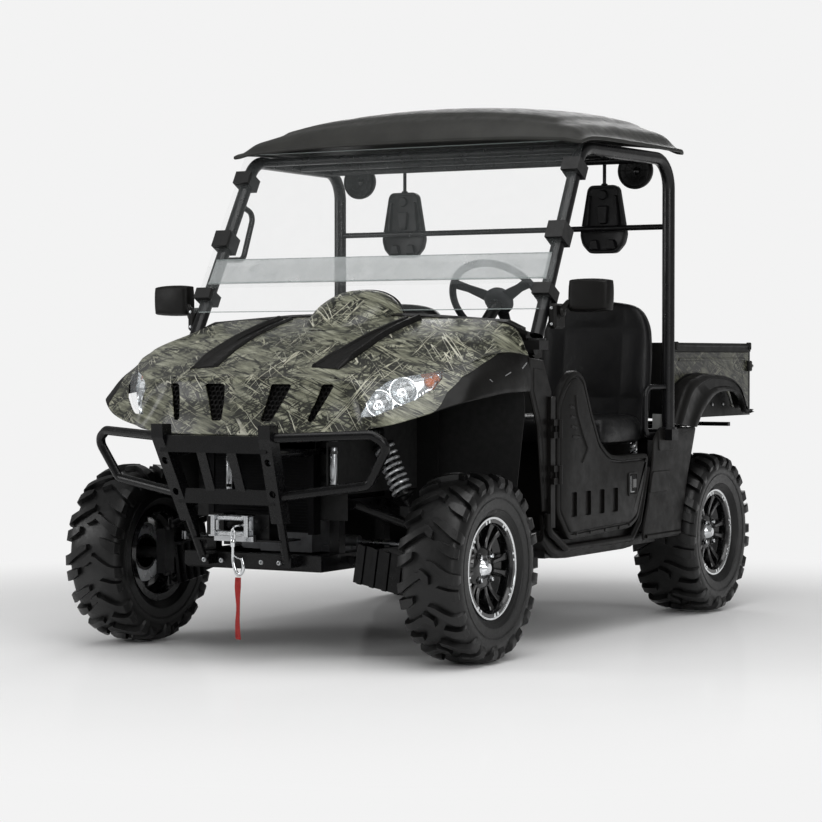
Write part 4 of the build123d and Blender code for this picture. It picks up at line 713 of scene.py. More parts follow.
def shock_pair(name, y, head, foot, length_share):
    """Both shock absorbers of an axle: helical spring between two seats, damper body, rod, boot and eyes."""
    b = Build()
    foot, head = Vector((foot[0], y, foot[1])), Vector((head[0], y, head[1]))
    way = (head - foot).normalized()
    length = (head - foot).length
    side = Vector(REAR)
    up = way.cross(side)
    low, high = length * length_share[0], length * length_share[1]
    coil = []
    for n in range(int(COIL_TURNS * COIL_STEPS) + 1):
        a = 2 * math.pi * n / COIL_STEPS
        share = n / (COIL_TURNS * COIL_STEPS)
        flat = min(1.0, share * COIL_TURNS, (1 - share) * COIL_TURNS)
        climb = share * (1 - 0.06) + 0.03 * (1 if share > 0.5 else 0) * (1 - flat) + 0.03
        coil.append(foot + way * (low + (high - low) * climb) + (side * math.cos(a) + up * math.sin(a))
                    * COIL_RADIUS)
    b.pipe(coil, WIRE_RADIUS, 8)
    for start, profile, finish in (
            (0, [(14, 0), (14, 9), (low - 22, 9), (low - 16, 15), (low - 8, 17), (low - 5, 38), (low + 1, 38),
                 (low + 1, 20), (high - 30, 20), (high - 24, 8), (high - 24, 0)], 1),
            (high, [(-6, 0), (-6, 14), (0, 30), (0, 38), (7, 38), (9, 16), (length - high - 12, 14),
                    (length - high - 12, 0)], 1),
            (high, [(-50, 5.5), (-6, 5.5)], 2)):
        b.lathe(profile, foot + way * start, way, 28, finish)
    for point, wide in ((foot, 21.5), (head, 16)):
        b.lathe([(-wide, 0), (-wide, 13), (-wide + 2, 15), (wide - 2, 15), (wide, 13), (wide, 0)], point,
                REAR, 24, 1)
        b.nut([(-wide - 7, 0), (-wide - 7, 8), (-wide, 8)], point, REAR, 2)
        b.nut([(wide, 8), (wide + 7, 8), (wide + 7, 0)], point, REAR, 2)
    b.mirrored().make(name, "spring_steel frame_steel bright_steel", sharp=38)


# ------------------------------------------------------------------ roof
# y, half width, lip height, rise, crown
ROOF = [(712, 752, 1801, 30, 2), (722, 754, 1802, 44, 4), (742, 756, 1806, 66, 6), (782, 758, 1811, 92, 8),
        (860, 758, 1814, 113, 12), (942, 758, 1815, 128, 14), (1120, 758, 1815, 146, 15),
        (1300, 758, 1815, 156, 16), (1462, 758, 1815, 160, 16), (1545, 757, 1817, 152, 14),
        (1592, 754, 1819, 134, 12), (1614, 750, 1820, 100, 8),
        (1622, 748, 1821, 58, 4)]
# share of the half width, share of the rise and of the crown
ROOF_ARCH = [(0.22, 1, 0.72), (0.42, 1, 0), (0.60, 0.89, 0), (0.74, 0.73, 0), (0.84, 0.58, 0),
             (0.90, 0.46, 0), (0.945, 0.22, 0), (0.965, 0.14, 0), (0.99, 0.10, 0)]
ROOF_DROP = 9.6     # brings the top under the height of the solids
ROOF_GROOVE = 330.0


def clamped(value):
    return min(1.0, max(0.0, value))


def eased(share):
    return share * share * (3 - 2 * share)


def roof_moulding(x, y):
    """What the moulding adds to the plain crown: a raised middle field with rounded edges and two grooves."""
    along = clamped((y - 800) / 45) * clamped((1585 - y) / 25)
    field = 9.0 * eased(along) * eased(clamped((600 - abs(x)) / 30))
    near = max(0.0, 1 - abs(abs(x) - ROOF_GROOVE) / 16)
    return field - 5.0 * near * along * clamped((y - 860) / 60) - ROOF_DROP


def roof_piece():
    rows = []
    for y, width, lip, rise, crown in ROOF:
        half = [(0, lip + rise + crown)] + [(width * a, lip + rise * h + crown * c) for a, h, c in ROOF_ARCH]
        rows.append([(x, y, z) for x, z in both_halves(half)])
    rows = [[p + Vector((0, 0, roof_moulding(p.x, p.y))) for p in row] for row in fine_grid(rows, 6, 4)]
    b = Build()
    b.loft(rows, around=False)
    # rolled lip and under skin
    drops = []
    for out, down in ((0, 0), (1.5, 4), (1.0, 10), (-3, 13), (-8, 11), (-10, 5)):
        drops.append([p + Vector((p.x, p.y - 1167, 0)).normalized() * out - Vector((0, 0, down))
                      for p in grid_edge(rows)])
    b.loft(drops, caps=False)
    b.loft([[p + Vector((0, 0, -6)) for p in reversed(row)] for row in rows], around=False)
    b.make("roof_shell", "roof_plastic", sharp=42)


roof_piece()

# ------------------------------------------------------------------ hood
# y and the outline (x, z) of each station's left half
HOOD = [(-298, [(0, 953), (200, 953), (255, 951), (298, 945)]),
        (-268, [(0, 966), (200, 962), (310, 956), (400, 944)]),
        (-223, [(0, 988), (200, 983), (380, 969), (497, 946)]),
        (-165, [(0, 1012), (208, 1008), (455, 986), (560, 958)]),
        (-85, [(0, 1042), (228, 1037), (520, 1008), (628, 975)]),
        (-30, [(0, 1061), (242, 1055), (552, 1024), (664, 990)]),
        (75, [(0, 1098), (260, 1090), (600, 1065), (697, 1028)]),
        (234, [(0, 1140), (280, 1130), (610, 1105), (703, 1042)]),
        (368, [(0, 1168), (280, 1160), (620, 1136), (706, 1030)])]
HOOD_WALL = 6
# headlamp plane, from the lower inner corner of the left lens to its tip, and the lens outline on it
LAMP_LOW, LAMP_TIP, LAMP_HIGH = Vector((440, -316, 823)), Vector((628, -85, 973)), Vector((497, -221, 942))
LAMP_U = (LAMP_TIP - LAMP_LOW).normalized()
LAMP_W = (LAMP_TIP - LAMP_LOW).cross(LAMP_HIGH - LAMP_LOW).normalized()
LAMP_V = LAMP_W.cross(LAMP_U)
LENS = [(0, 0), (34, -20), (99, -29), (184, -39), (265, -36), (307, -19), (329, 4), (237, 36), (194, 51),
        (153, 61), (85, 52), (40, 30)]


def lamp_point(u, v, w, side=1):
    p = LAMP_LOW + LAMP_U * u + LAMP_V * v + LAMP_W * w
    return Vector((p.x * side, p.y, p.z))


def hood_build():
    """Closed sheet: the top as a fine grid, a rounded rim and an underside lower by the wall."""
    rows = fine_grid([[(x, y, z) for x, z in both_halves(line)] for y, line in HOOD], 6, 3)
    b = Build().loft(rows, around=False)
    edge = grid_edge(rows)
    middle = sum(edge, Vector()) / len(edge)
    rings = [edge]
    for out, down in ((1.8, 0.25), (1.8, 0.75), (0, 1)):
        rings.append([p + Vector((p.x - middle.x, p.y - middle.y, 0)).normalized() * out
                      - Vector((0, 0, HOOD_WALL * down)) for p in edge])
    b.loft(rings, caps=False)
    return b.loft([[p - Vector((0, 0, HOOD_WALL)) for p in reversed(row)] for row in rows], around=False)


lamp_cutters = [cutter([lamp_point(u, v, 60, s) for u, v in LENS],
                       (LAMP_W.x * -135 * s, LAMP_W.y * -135, LAMP_W.z * -135))
                for s in (1, -1)]
cut(hood_build().make("hood_panel", "camo_plastic"), lamp_cutters)

# dome on the rear of the hood, with its dark rim: y, half width, height of the base, height of the dome
DOME = [(150, 60, 1104, 10), (200, 98, 1112, 36), (260, 135, 1120, 66), (330, 160, 1124, 102),
        (400, 176, 1120, 134), (436, 178, 1116, 146), (456, 174, 1112, 146)]
DOME_ARCH = [(1.0, 0.0), (0.97, 0.22), (0.90, 0.48), (0.76, 0.74), (0.52, 0.91), (0.26, 0.985), (0.0, 1.0)]


def dome_arch(y, half, base, height, back=0):
    side = [(half * a, y + back, base + height * c) for a, c in DOME_ARCH]
    return side + [(-x, y, z) for x, y, z in reversed(side[:-1])]


rows = fine_grid([dome_arch(*station) for station in DOME], 3, 4)
front, back = rows[0], rows[-1]
dome = Build()
dome.loft(rows, around=False)
dome.loft([front, [Vector((p.x * 0.9, p.y - 6, p.z - 12)) for p in front]], around=False)
dome.loft([back, [Vector((p.x * 0.96, p.y + 8, p.z - 8)) for p in back],
           [Vector((p.x * 0.9, p.y + 6, 1120 + (p.z - 1120) * 0.5)) for p in back]], 1, around=False)
dome.make("hood_dome", "camo_plastic black_plastic", slot="camo_plastic")
rim = Build()
rim.pipe(smooth_line(dome_arch(*DOME[-1], back=2), 5), 6.0, 8)
base_line = [(half + 3, y, base + 7) for y, half, base, _ in DOME[:-1]]
rim.pipe(smooth_line([(-x, y, z) for x, y, z in reversed(base_line)] + [(0, DOME[0][0] - 26, DOME[0][2] + 3)]
                     + base_line, 6), 6.5, 8)
rim.make("dome_rim", "black_plastic")


def between(line, at, value):
    """Straight interpolation along stations: value(station) is a number, at the place asked for."""
    for first, second in zip(line, line[1:]):
        if first[0] <= at <= second[0]:
            low, high = value(first), value(second)
            return low + (high - low) * (at - first[0]) / (second[0] - first[0])
    return value(line[-1])


def on_hood(x, y):
    """Height of the hood's top, straight between its stations."""
    return between(HOOD, y, lambda station: between(station[1], x, lambda point: point[1]))


# raised vent strips, a channel between a low inner ridge and a high outer one: y, inner and outer x; then the
# ridges' distance in from that edge and height over the hood
VENTS = [(-215, 190, 300), (-130, 200, 304), (-60, 212, 305), (40, 219, 303), (130, 225, 300),
         (230, 229, 301), (330, 232, 302)]
INNER_RIDGE = [(-2, -1), (3, 9), (9, 12), (16, 11), (21, 4)]
OUTER_RIDGE = [(28, 5), (21, 14), (14, 20), (5, 20), (0, 13), (-2, -1)]
CHANNEL = (32, 44, 56)
strip = []
for y, x0, x1 in VENTS:
    z0, z1 = on_hood(x0, y), on_hood(x1, y)
    low_end = min(1.0, 0.45 + (y - VENTS[0][0]) / 160)
    strip.append([(x0 + step, y, z0 + rise) for step, rise in INNER_RIDGE]
                 + [(x0 + step, y, on_hood(x0 + step, y) + 4.5) for step in CHANNEL]
                 + [(x1 - step, y, z1 + max(-1, rise * low_end + (4 if step > 25 else 0)))
                    for step, rise in OUTER_RIDGE])
strip = fine_grid(strip, 0, 4)
vents = Build().loft(strip, around=False)
for row, drift in ((strip[0], -7), (strip[-1], 7)):
    foot = (row[0].z + row[-1].z) / 2 - 1
    vents.loft([row, [Vector((p.x, p.y + drift, min(p.z - 3, foot))) for p in row]], around=False)
vents.mirrored().make("hood_vents", "black_plastic", sharp=40)

# ------------------------------------------------------------------ nose and front fenders
# rows from the middle of the nose round the corner and back over the wheel, each from its top edge to its lip
HALF_ROWS = [[(0, -303, 943), (0, -330, 880), (0, -355, 822), (0, -378, 762)],
             [(110, -303, 943), (110, -329, 880), (110, -353, 822), (110, -376, 762)],
             [(200, -302, 943), (200, -327, 880), (200, -350, 822), (200, -372, 762)],
             [(285, -295, 943), (302, -318, 880), (314, -340, 824), (328, -357, 766)],
             [(343, -280, 943), (372, -293, 885), (400, -306, 830), (427, -321, 775)],
             [(410, -262, 943), (447, -292, 880), (454, -309, 830), (470, -311, 787)],
             [(494, -222, 945), (514, -232, 888), (532, -270, 835), (544, -282, 803)],
             [(558, -162, 957), (596, -170, 905), (614, -226, 848), (620, -242, 827)],
             [(626, -82, 974), (672, -104, 935), (692, -156, 880), (698, -172, 860)],
             [(660, -36, 987), (712, -58, 945), (730, -100, 892), (733, -114, 876)],
             [(684, 35, 1012), (729, 26, 960), (741, 12, 905), (741, 8, 888)],
             [(697, 130, 1029), (739, 130, 970), (745, 130, 915), (743, 130, 899)],
             [(701, 250, 1037), (741, 250, 975), (746, 250, 918), (744, 250, 902)],
             [(704, 330, 1031), (722, 330, 975), (726, 330, 918), (724, 330, 902)],
             [(706, 372, 1027), (713, 372, 975), (714, 372, 918), (713, 372, 902)]]


def rounded_row(n, row):
    """Row with a softer bend below its top edge, for the front where the hood rolls over into the nose."""
    lift = max(0.0, 1 - max(0, n - 3) / 3)
    top, second = Vector(row[0]), Vector(row[1])
    bend = top.lerp(second, 0.16) + Vector((0, -6, 7)) * lift
    return [tuple(top + Vector((0, 5, 8)) * lift), tuple(bend)] + row[1:]


half_rows = [rounded_row(n, row) for n, row in enumerate(HALF_ROWS)]
fine_rows = fine_grid([[(-x, y, z) for x, y, z in row] for row in reversed(half_rows[1:])] + half_rows, 4, 5)


def shell(wall):
    """Closed shell on the fine rows with a rolled lip."""
    last = len(fine_rows) - 1
    rings = []
    for n, row in enumerate(fine_rows):
        along = fine_rows[min(n + 1, last)][0] - fine_rows[max(n - 1, 0)][0]
        inner = []
        for k, p in enumerate(row):
            down = row[min(k + 1, len(row) - 1)] - row[max(k - 1, 0)]
            inner.append(p + along.cross(down).normalized() * wall)
        bead = [row[-1] + (row[-1] - row[-2]).normalized() * 2.5 + (inner[-1] - row[-1]) * 0.5]
        rings.append(row + bead + inner[::-1])
    return Build().loft(rings)


# the black part lies behind and below this line of (y, z)
COLOUR_LINE = [(-215, 838), (-140, 905), (-70, 955), (50, 1000), (170, 1035), (380, 1082)]
black_side = COLOUR_LINE + [(390, 1082), (390, 600), (-215, 600)]
black_cutters = [cutter([(500 * s, y, z) for y, z in black_side], (400 * s, 0, 0)) for s in (1, -1)]
# vents in the nose: outer and inner x at the top, then at the foot
SLOT_LOW, SLOT_HIGH = 806, 930
SLOTS = [((328, 286), (281, 256)), ((173, 92), (123, 78))]
slot_cutters = []
for (top_outer, top_inner), (low_outer, low_inner) in SLOTS:
    ring = [(low_inner, SLOT_LOW + 6), (low_inner + 6, SLOT_LOW), (low_outer - 6, SLOT_LOW),
            (low_outer, SLOT_LOW + 6), (top_outer, SLOT_HIGH - 6), (top_outer - 7, SLOT_HIGH),
            (top_inner + 7, SLOT_HIGH), (top_inner, SLOT_HIGH - 6)]
    slot_cutters += [cutter([(x * s, -430, z) for x, z in ring], (0, 190, 0)) for s in (1, -1)]
cut(shell(4).make("nose_panel", "camo_plastic"), black_cutters + lamp_cutters + slot_cutters)
fenders = shell(5).make("front_fenders", "black_plastic")
# a third of a millimetre between the two colours
for s, tool in zip((1, -1), black_cutters):
    tool.location = (s * -0.0003, 0.0003, 0)
boolean(black_cutters[0], "UNION", black_cutters[1])
boolean(fenders, "INTERSECT", black_cutters[0])
cut(fenders, lamp_cutters)
remove(lamp_cutters + black_cutters + slot_cutters)

# panels between the arches and the door posts, outlines of (y, z)
cheeks = Build()
cheeks.prism([(706, y, z) for y, z in ((366, 1018), (470, 1010), (536, 900), (536, 470), (470, 480),
                                       (430, 778), (366, 906))], (8, 0, 0), edge=4.0)
cheeks.prism([(712, y, z) for y, z in ((392, 985), (462, 978), (512, 888), (512, 520), (486, 520), (452, 780),
                                       (392, 900))], (4.5, 0, 0), edge=3.5)
cheeks.mirrored().make("fender_cheeks", "black_plastic")


def nose_y(x, z):
    """Front face of the nose between its top and lower edge."""
    x = abs(x)
    for a, b in zip(half_rows, half_rows[1:]):
        if a[0][0] <= x <= b[-1][0]:
            share = clamped((x - a[0][0]) / max(1.0, b[0][0] - a[0][0]))
            top = a[0][1] + (b[0][1] - a[0][1]) * share
            low = a[-1][1] + (b[-1][1] - a[-1][1]) * share
            return low + (top - low) * (z - 762) / (943 - 762)
    return -300.0


# honeycomb and dark plate behind the four slots
CELL = 17.5
comb = Build()
for (top_outer, top_inner), (low_outer, low_inner) in SLOTS:
    for row in range(-1, 10):
        z = SLOT_LOW + row * CELL * 0.866
        share = (z - SLOT_LOW) / (SLOT_HIGH - SLOT_LOW)
        left = low_inner + (top_inner - low_inner) * share - 6
        right = low_outer + (top_outer - low_outer) * share + 6
        for column in range(int(left // CELL) - 1, int(right // CELL) + 2):
            x = (column + 0.5 * (row % 2)) * CELL
            if left - 2 < x < right + 2:
                comb.loft([[(x + CELL * size * math.sin(a), nose_y(x, z) + depth,
                             z + CELL * size * math.cos(a))
                            for a in (math.radians(60 * k) for k in range(6))]
                           for size, depth in ((0.60, 9), (0.60, 6), (0.47, 5.4), (0.45, 12))], caps=False)
    ring = [(low_inner - 30, 790), (low_outer + 34, 790), (top_outer + 34, 938), (top_inner - 30, 938)]
    comb.prism([(x, nose_y(x, z) + 24, z) for x, z in ring], (0, 2, 0), 1)
comb.mirrored().make("grille_mesh", "black_plastic dark_gap", sharp=40)

# bright marks on the fenders
marks = Build()
for middle, half, lean in (((741, 150, 962), (2, 23, 2.5), 16), ((737, 40, 940), (2, 13, 2), -24),
                           ((735, 285, 990), (2, 20, 2.5), 30)):
    turn = Matrix.Translation(middle) @ Matrix.Rotation(math.radians(lean), 4, "X")
    marks.block([-h for h in half], half, 1.5, turn=turn)
marks.mirrored().make("fender_marks", "dull_silver", slot="bright_steel")

# ------------------------------------------------------------------ headlamps
LENS_CORE = (168.0, 6.0)
lens_line = smooth_outline(LENS, 4, closed=True)


def lens_rings(levels):
    """Rings of the lens outline drawn in to its core: share of its size, height over the lamp's plane."""
    u0, v0 = LENS_CORE
    return [[lamp_point(u0 + (u - u0) * share, v0 + (v - v0) * share, rise) for u, v in lens_line]
            for share, rise in levels]


lens = Build()
lens.loft([[lamp_point(u, v, -9) for u, v in lens_line]]
          + lens_rings(((1.0, 0), (0.97, 5), (0.90, 11), (0.78, 18), (0.6, 24), (0.4, 28), (0.2, 30),
                        (0.02, 30.5))))
lens.mirrored().make("headlamp_lenses", "lamp_lens", sharp=60)
bright, amber, facet = 0, 2, 3
bowl = Build()
bowl.loft(lens_rings(((0.985, -6), (0.975, -14), (0.95, -24), (0.93, -30), (0.80, -34), (0.55, -36),
                      (0.02, -37))),
          caps=False)
for u, v, wide in ((84, 9, 44), (176, 7, 46)):
    middle = lamp_point(u, v, -40)
    bowl.lathe([(0, 9), (4, 17), (14, wide * 0.72), (26, wide * 0.93), (33, wide), (33, wide + 2.5),
                (2, wide + 4)],
               middle, LAMP_W, 40, bright)
    bowl.lathe([(2, 10), (14, 9), (20, 6), (23, 0)], middle, LAMP_W, 24, facet)
    for turn in range(12):
        a = math.radians(turn * 30)
        out = LAMP_U * math.cos(a) + LAMP_V * math.sin(a)
        bowl.loft([[middle + out * r + LAMP_W * h + LAMP_W.cross(out) * t for t in (-1.4, 1.4)]
                   for r, h in ((18, 6), (wide * 0.72, 16.5), (wide * 0.94, 28))], facet, around=False)
bowl.lathe([(0, 15), (8, 17), (13, 15), (17, 10), (19, 0)], lamp_point(278, -6, -36), LAMP_W, 28, amber)
bowl.lathe([(0, 9), (8, 11), (12, 8), (14, 0)], lamp_point(304, -4, -32), LAMP_W, 20, amber)
for n in range(11):
    u = 110 + n * 13
    # small prisms above and below the bowls: v, foot and ridge of their two ends
    for finish, ends in ((bright, ((0, 26, -32, -24), (8, 46, -28, -20))),
                         (facet, ((0, -34, -32, -24), (8, -18, -32, -25)))):
        bowl.loft([[lamp_point(u + du, v, low), lamp_point(u + du + 3, v, ridge),
                    lamp_point(u + du + 6, v, low)]
                   for du, v, low, ridge in ends], finish)
bowl.mirrored().make("headlamp_housings", "lamp_chrome gloss_black amber machined", sharp=50)


# ------------------------------------------------------------------ seats
VOXEL = 0.0065
REACH = 0.014       # furthest that a point may swell, in metres
PRESSURE = 5.0
CLOTH_FRAMES = 18
SEAT_X = 450


def swell(piece, mesh, hold):
    """Blows the mesh up by cloth pressure, each point capped to the reach; hold(point) of 1 keeps a place."""
    start = [v.co.copy() for v in mesh.vertices]
    pinned = piece.vertex_groups.new(name="pinned")
    for v in mesh.vertices:
        pinned.add([v.index], hold(v.co * 1000 - Vector((0, AXLE_Y, 0))), "REPLACE")
    cloth = piece.modifiers.new("cloth", "CLOTH")
    for key, value in (("quality", 4), ("mass", 0.4), ("tension_stiffness", 12),
                       ("compression_stiffness", 12), ("bending_stiffness", 1.2), ("use_pressure", True),
                       ("uniform_pressure_force", PRESSURE),
                       ("vertex_group_mass", "pinned")):
        setattr(cloth.settings, key, value)
    cloth.settings.effector_weights.gravity = 0
    cloth.collision_settings.use_collision = False
    for step in range(1, CLOTH_FRAMES + 1):
        bpy.context.scene.frame_set(step)
    blown = evaluated_mesh(piece)
    piece.modifiers.clear()
    moved = [v.co.copy() for v in blown.vertices]
    bpy.data.meshes.remove(blown)
    bpy.context.scene.frame_set(1)
    for v, a, c in zip(mesh.vertices, start, moved):
        step = c - a
        v.co = a + step * min(1.0, REACH / max(step.length, 1e-6))
    piece.vertex_groups.clear()


def pad(name, build, node, hold):
    """Soft pad: voxel skin, swollen by cloth, made finer, and its mirror image on the other seat."""
    piece = build.make(name + "_left", "seat_vinyl", node, sharp=0)
    remesh = piece.modifiers.new("voxels", "REMESH")
    remesh.mode = "VOXEL"
    remesh.voxel_size = VOXEL
    bpy.context.view_layer.update()
    mesh = evaluated_mesh(piece)
    piece.modifiers.clear()
    piece.data = mesh
    mesh.name = piece.name
    swell(piece, mesh, hold)
    mesh.polygons.foreach_set("use_smooth", [True] * len(mesh.polygons))
    finer = piece.modifiers.new("finer", "SUBSURF")
    finer.levels = finer.render_levels = 1
    if not mesh.materials:
        mesh.materials.append(looks["seat_vinyl"])
    other = mirror_copy(piece, name + "_right", "chassis", [node])


def hold_cushion(p):
    """Underside and sewn channels of the cushion."""
    sewn = abs(abs(p.x - SEAT_X) - 128) < 7 or abs(p.y - 1100) < 6
    return 1.0 if p.z < 704 or sewn else 0.0


def hold_back(p):
    """Rear and sewn channels of the seat back."""
    rear = p.y > 1436 + (p.z - 700) * 0.12
    sewn = abs(abs(p.x - SEAT_X) - 124) < 7 or any(abs(p.z - z) < 5 for z in (860, 1130))
    return 1.0 if rear or sewn else 0.0


def back_place(x, depth, height):
    """Point of the seat back: depth behind its front face, height along its tilt."""
    tilt = math.radians(7)
    return (x, 1370 + depth * math.cos(tilt) + height * math.sin(tilt),
            699 + height * math.cos(tilt) - depth * math.sin(tilt))


cushion = Build()
rings = []
# height of each ring, how far it is drawn in
for z, shrink in ((694, 16), (702, 5), (730, 0), (770, 2), (788, 9), (797, 24), (801, 60)):
    x0, x1, y0, y1 = 213 + shrink, 687 - shrink, 1016 + shrink, 1360 - shrink
    xm, ym = (x0 + x1) / 2, (y0 + y1) / 2
    corners = ((x0 + 40, y0), (xm, y0 - 4), (x1 - 40, y0), (x1, y0 + 44), (x1, ym), (x1 - 4, y1 - 20),
               (x1 - 30, y1), (xm, y1), (x0 + 30, y1), (x0 + 4, y1 - 20), (x0, ym), (x0, y0 + 44))
    rings.append(smooth_line([(x, y, z) for x, y in corners], 3, closed=True))
pad("seat_cushion", cushion.loft(rings), "seat_cushions", hold_cushion)

outline = [(-222, 30), (-234, 110), (-236, 250), (-232, 380), (-218, 460), (-176, 520), (-100, 541), (0, 546)]
outline += [(-x, h) for x, h in reversed(outline[:-1])] + [(210, 8), (100, 4), (0, 4), (-100, 4), (-210, 8)]
line = smooth_outline(outline, 3, closed=True)
# depth of each ring, share of the outline
rings = [[back_place(SEAT_X + x * share, depth, 275 + (h - 275) * (share ** 0.6)) for x, h in line]
         for depth, share in ((8, 0.80), (9, 0.90), (14, 0.955), (26, 0.985), (50, 0.985), (64, 0.97),
                              (71, 0.93), (73, 0.86))]
pad("seat_back", Build().loft(rings), "seat_backs", hold_back)

# ------------------------------------------------------------------ edges of the solids that stay
for name, width in (("front_bumper", 3.0), ("bed_tub", 3.0), ("tailgate", 3.0), ("windshield_clamps", 9.0),
                    ("cowl_trim", 3.0), ("dashboard", 8.0), ("main_frame", 2.0), ("skid_plate", 1.0),
                    ("seat_box", 6.0), ("floor_pan", 2.0), ("winch", 4.0), ("roller_fairlead", 1.0),
                    ("engine_block", 6.0), ("left_knuckle", 2.5), ("right_knuckle", 2.5),
                    ("rear_carriers", 2.5), ("front_arms", 2.0),
                    ("rear_arms", 2.0), ("drive_housings", 5.0), ("hip_bars", 1.5), ("radiator", 2.0)):
    node = frame["nodes"][name]
    node.data.polygons.foreach_set("use_smooth", [True] * len(node.data.polygons))
    round_edges(node, width, 30)
frame["nodes"]["front_bumper"].data.materials.clear()
frame["nodes"]["front_bumper"].data.materials.append(looks["bumper_paint"])

# ------------------------------------------------------------------ windshield
FOOT, TOP = Vector((718, 405, 1085)), Vector((701, 790, 1775))
RAKE = Vector((0, TOP.y - FOOT.y, TOP.z - FOOT.z)).normalized()
RAKE_OUT = Vector((0, -RAKE.z, RAKE.y))
ACROSS = [n / 8 - 1 for n in range(17)]


def screen_point(along, x_share, out):
    """Point of the windshield: along the pillar, across from -1 to 1, in front of the pillars' middle."""
    p = FOOT + (TOP - FOOT) * (along / (TOP - FOOT).length)
    return Vector((p.x * x_share, p.y, p.z)) + RAKE_OUT * out


# the overlap of the two panes is real; the pale sheet over it is painted reflection that makes the band
# lighter
rows = [[screen_point(along, share, 26 + 3.0 * (1 - share * share)) for share in ACROSS]
        for along in (224, 238, 270, 300, 330)]
band = Build().loft(rows, around=False)
band.loft([[p + RAKE_OUT * 1.5 for p in reversed(row)] for row in rows], around=False)
band.make("windshield_band", "hazy_sheet", slot="clear_sheet")
# pale bars along the panes' edges: painted highlights
edges = Build()
for along, out in ((103, 27), (330, 29), (226, 34), (800, 34)):
    edges.pipe([screen_point(along, share, out) for share in ACROSS], 1.8, 8)
edges.make("windshield_edges", "edge_sheet", slot="clear_sheet")

# ------------------------------------------------------------------ headrests
heads = Build()


def scaled(line, middle, levels):
    """Rings of an outline of (x, z) scaled about a middle: y and scale of each."""
    x0, z0 = middle
    return [[(x0 + (x - x0) * share, y, z0 + (z - z0) * share) for x, z in line] for y, share in levels]


def raised(x, z, outline, height):
    """Boss on the headrest's face: outline (x, z) about a middle, its rim pulled in."""
    heads.loft([[(x + px, 1508, z + pz) for px, pz in outline],
                [(x + px, 1504 - height, z + pz) for px, pz in inset(outline, 4)]])


half = [(52, 1690), (66, 1678), (98, 1496), (88, 1458), (60, 1428), (46, 1424)]
line = cornered(half + [(-x, z) for x, z in reversed(half)], 11)
heads.loft([[(SEAT_X + x * share, y, 1556 + (z - 1556) * share) for x, z in line]
            for y, share in ((1511, 0.86), (1509, 0.91), (1504, 0.93), (1504, 0.975), (1509, 1.0),
                             (1530, 1.0), (1538, 0.98), (1541, 0.93))])
raised(SEAT_X, 1652, [(20 * math.cos(a), 20 * math.sin(a)) for a in circle(24)], 3)
raised(SEAT_X, 1574, cornered([(-24, 36), (24, 36), (18, -36), (-18, -36)], 8), 4)
for side in SIDES:
    for x, z, outline, radius, height in ((58, 1592, [(-10, 58), (4, 58), (14, -62), (0, -62)], 5, 4),
                                          (36, 1458, [(-14, 20), (14, 20), (26, -20), (-22, -20)], 6, 5)):
        raised(SEAT_X + side * x, z, [(px * side, pz) for px, pz in cornered(outline, radius)], height)
heads.pipe([(SEAT_X, 1523, 1684), (SEAT_X, 1523, 1776)], 7, 16, 1)
heads.lathe([(0, 13), (10, 13), (13, 10), (13, 0)], (SEAT_X, 1523, 1684), UP, 24, 1)
heads.mirrored().make("headrests", "seat_vinyl cage_steel", bevel=2.5)

# ------------------------------------------------------------------ speakers and mirrors
SPEAKER = (618, 1478, 1736)
pods = Build()
for profile, count, finish in (
        ([(0, 0), (0, 42), (6, 58), (16, 68), (30, 71), (42, 71), (47, 68), (48, 64), (45, 61), (43, 60)], 56,
         0),
        ([(42, 62), (44, 58), (40, 50), (28, 30), (22, 18), (22, 0)], 48, 1),
        ([(22, 16), (29, 13), (33, 6), (34, 0)], 32, 2)):
    pods.lathe(profile, SPEAKER, FRONT, count, finish)
for n in range(10):
    a = math.radians(n * 36)
    pods.pipe([(SPEAKER[0] + r * math.cos(a), y, SPEAKER[2] + r * math.sin(a))
               for r, y in ((12, 1436), (60, 1433))],
              1.6, 6)
pods.lathe([(43, 36), (45.5, 36), (45.5, 39), (43, 39)], SPEAKER, FRONT, closed=True)
pods.mirrored().make("speakers", "black_plastic clamp_rubber gloss_black", bevel=1.0)

mirrors = Build()
shape = [(801, 1190), (800, 1236), (803, 1280), (812, 1290), (880, 1293), (948, 1288), (958, 1278),
         (960, 1236), (957, 1190), (948, 1180), (880, 1176), (812, 1178)]
line = smooth_outline(shape, 3, closed=True)
mirrors.loft(scaled(line, (880, 1235), ((472, 0.72), (474, 0.84), (481, 0.94), (494, 0.99), (510, 1.0),
                                        (524, 0.99), (526, 0.95))))
mirrors.loft(scaled(line, (880, 1235), ((526, 0.92), (527, 0.90), (527, 0.02))), 1, caps=False)
mirrors.block((744, 440, 1118), (776, 522, 1206), 8)
mirrors.pipe(smooth_line([(762, 470, 1150), (784, 478, 1186), (806, 488, 1214)], 4),
             [11, 12, 12, 12, 12, 11, 11, 11, 10], 14)
mirrors.lathe([(0, 0), (0, 16), (8, 18), (16, 14), (18, 0)], (776, 478, 1176), count=24)
for z in (1134, 1190):
    mirrors.nut([(0, 6), (4, 6), (5, 4), (5, 0)], (760, 441, z), FRONT, 2)
mirrors.mirrored().make("mirrors", "black_plastic mirror_glass bright_steel", bevel=1.5, sharp=40)

# ------------------------------------------------------------------ steering wheel
HUB = Vector((400, 726, 1218))
AXIS = Vector((0, math.cos(math.radians(38)), math.sin(math.radians(38))))
WHEEL_UP = Vector(LEFT).cross(AXIS).normalized() * -1
GRIP_RADIUS = 178


def wheel_way(a):
    """Direction in the wheel's plane."""
    return Vector(LEFT) * math.cos(a) + WHEEL_UP * math.sin(a)


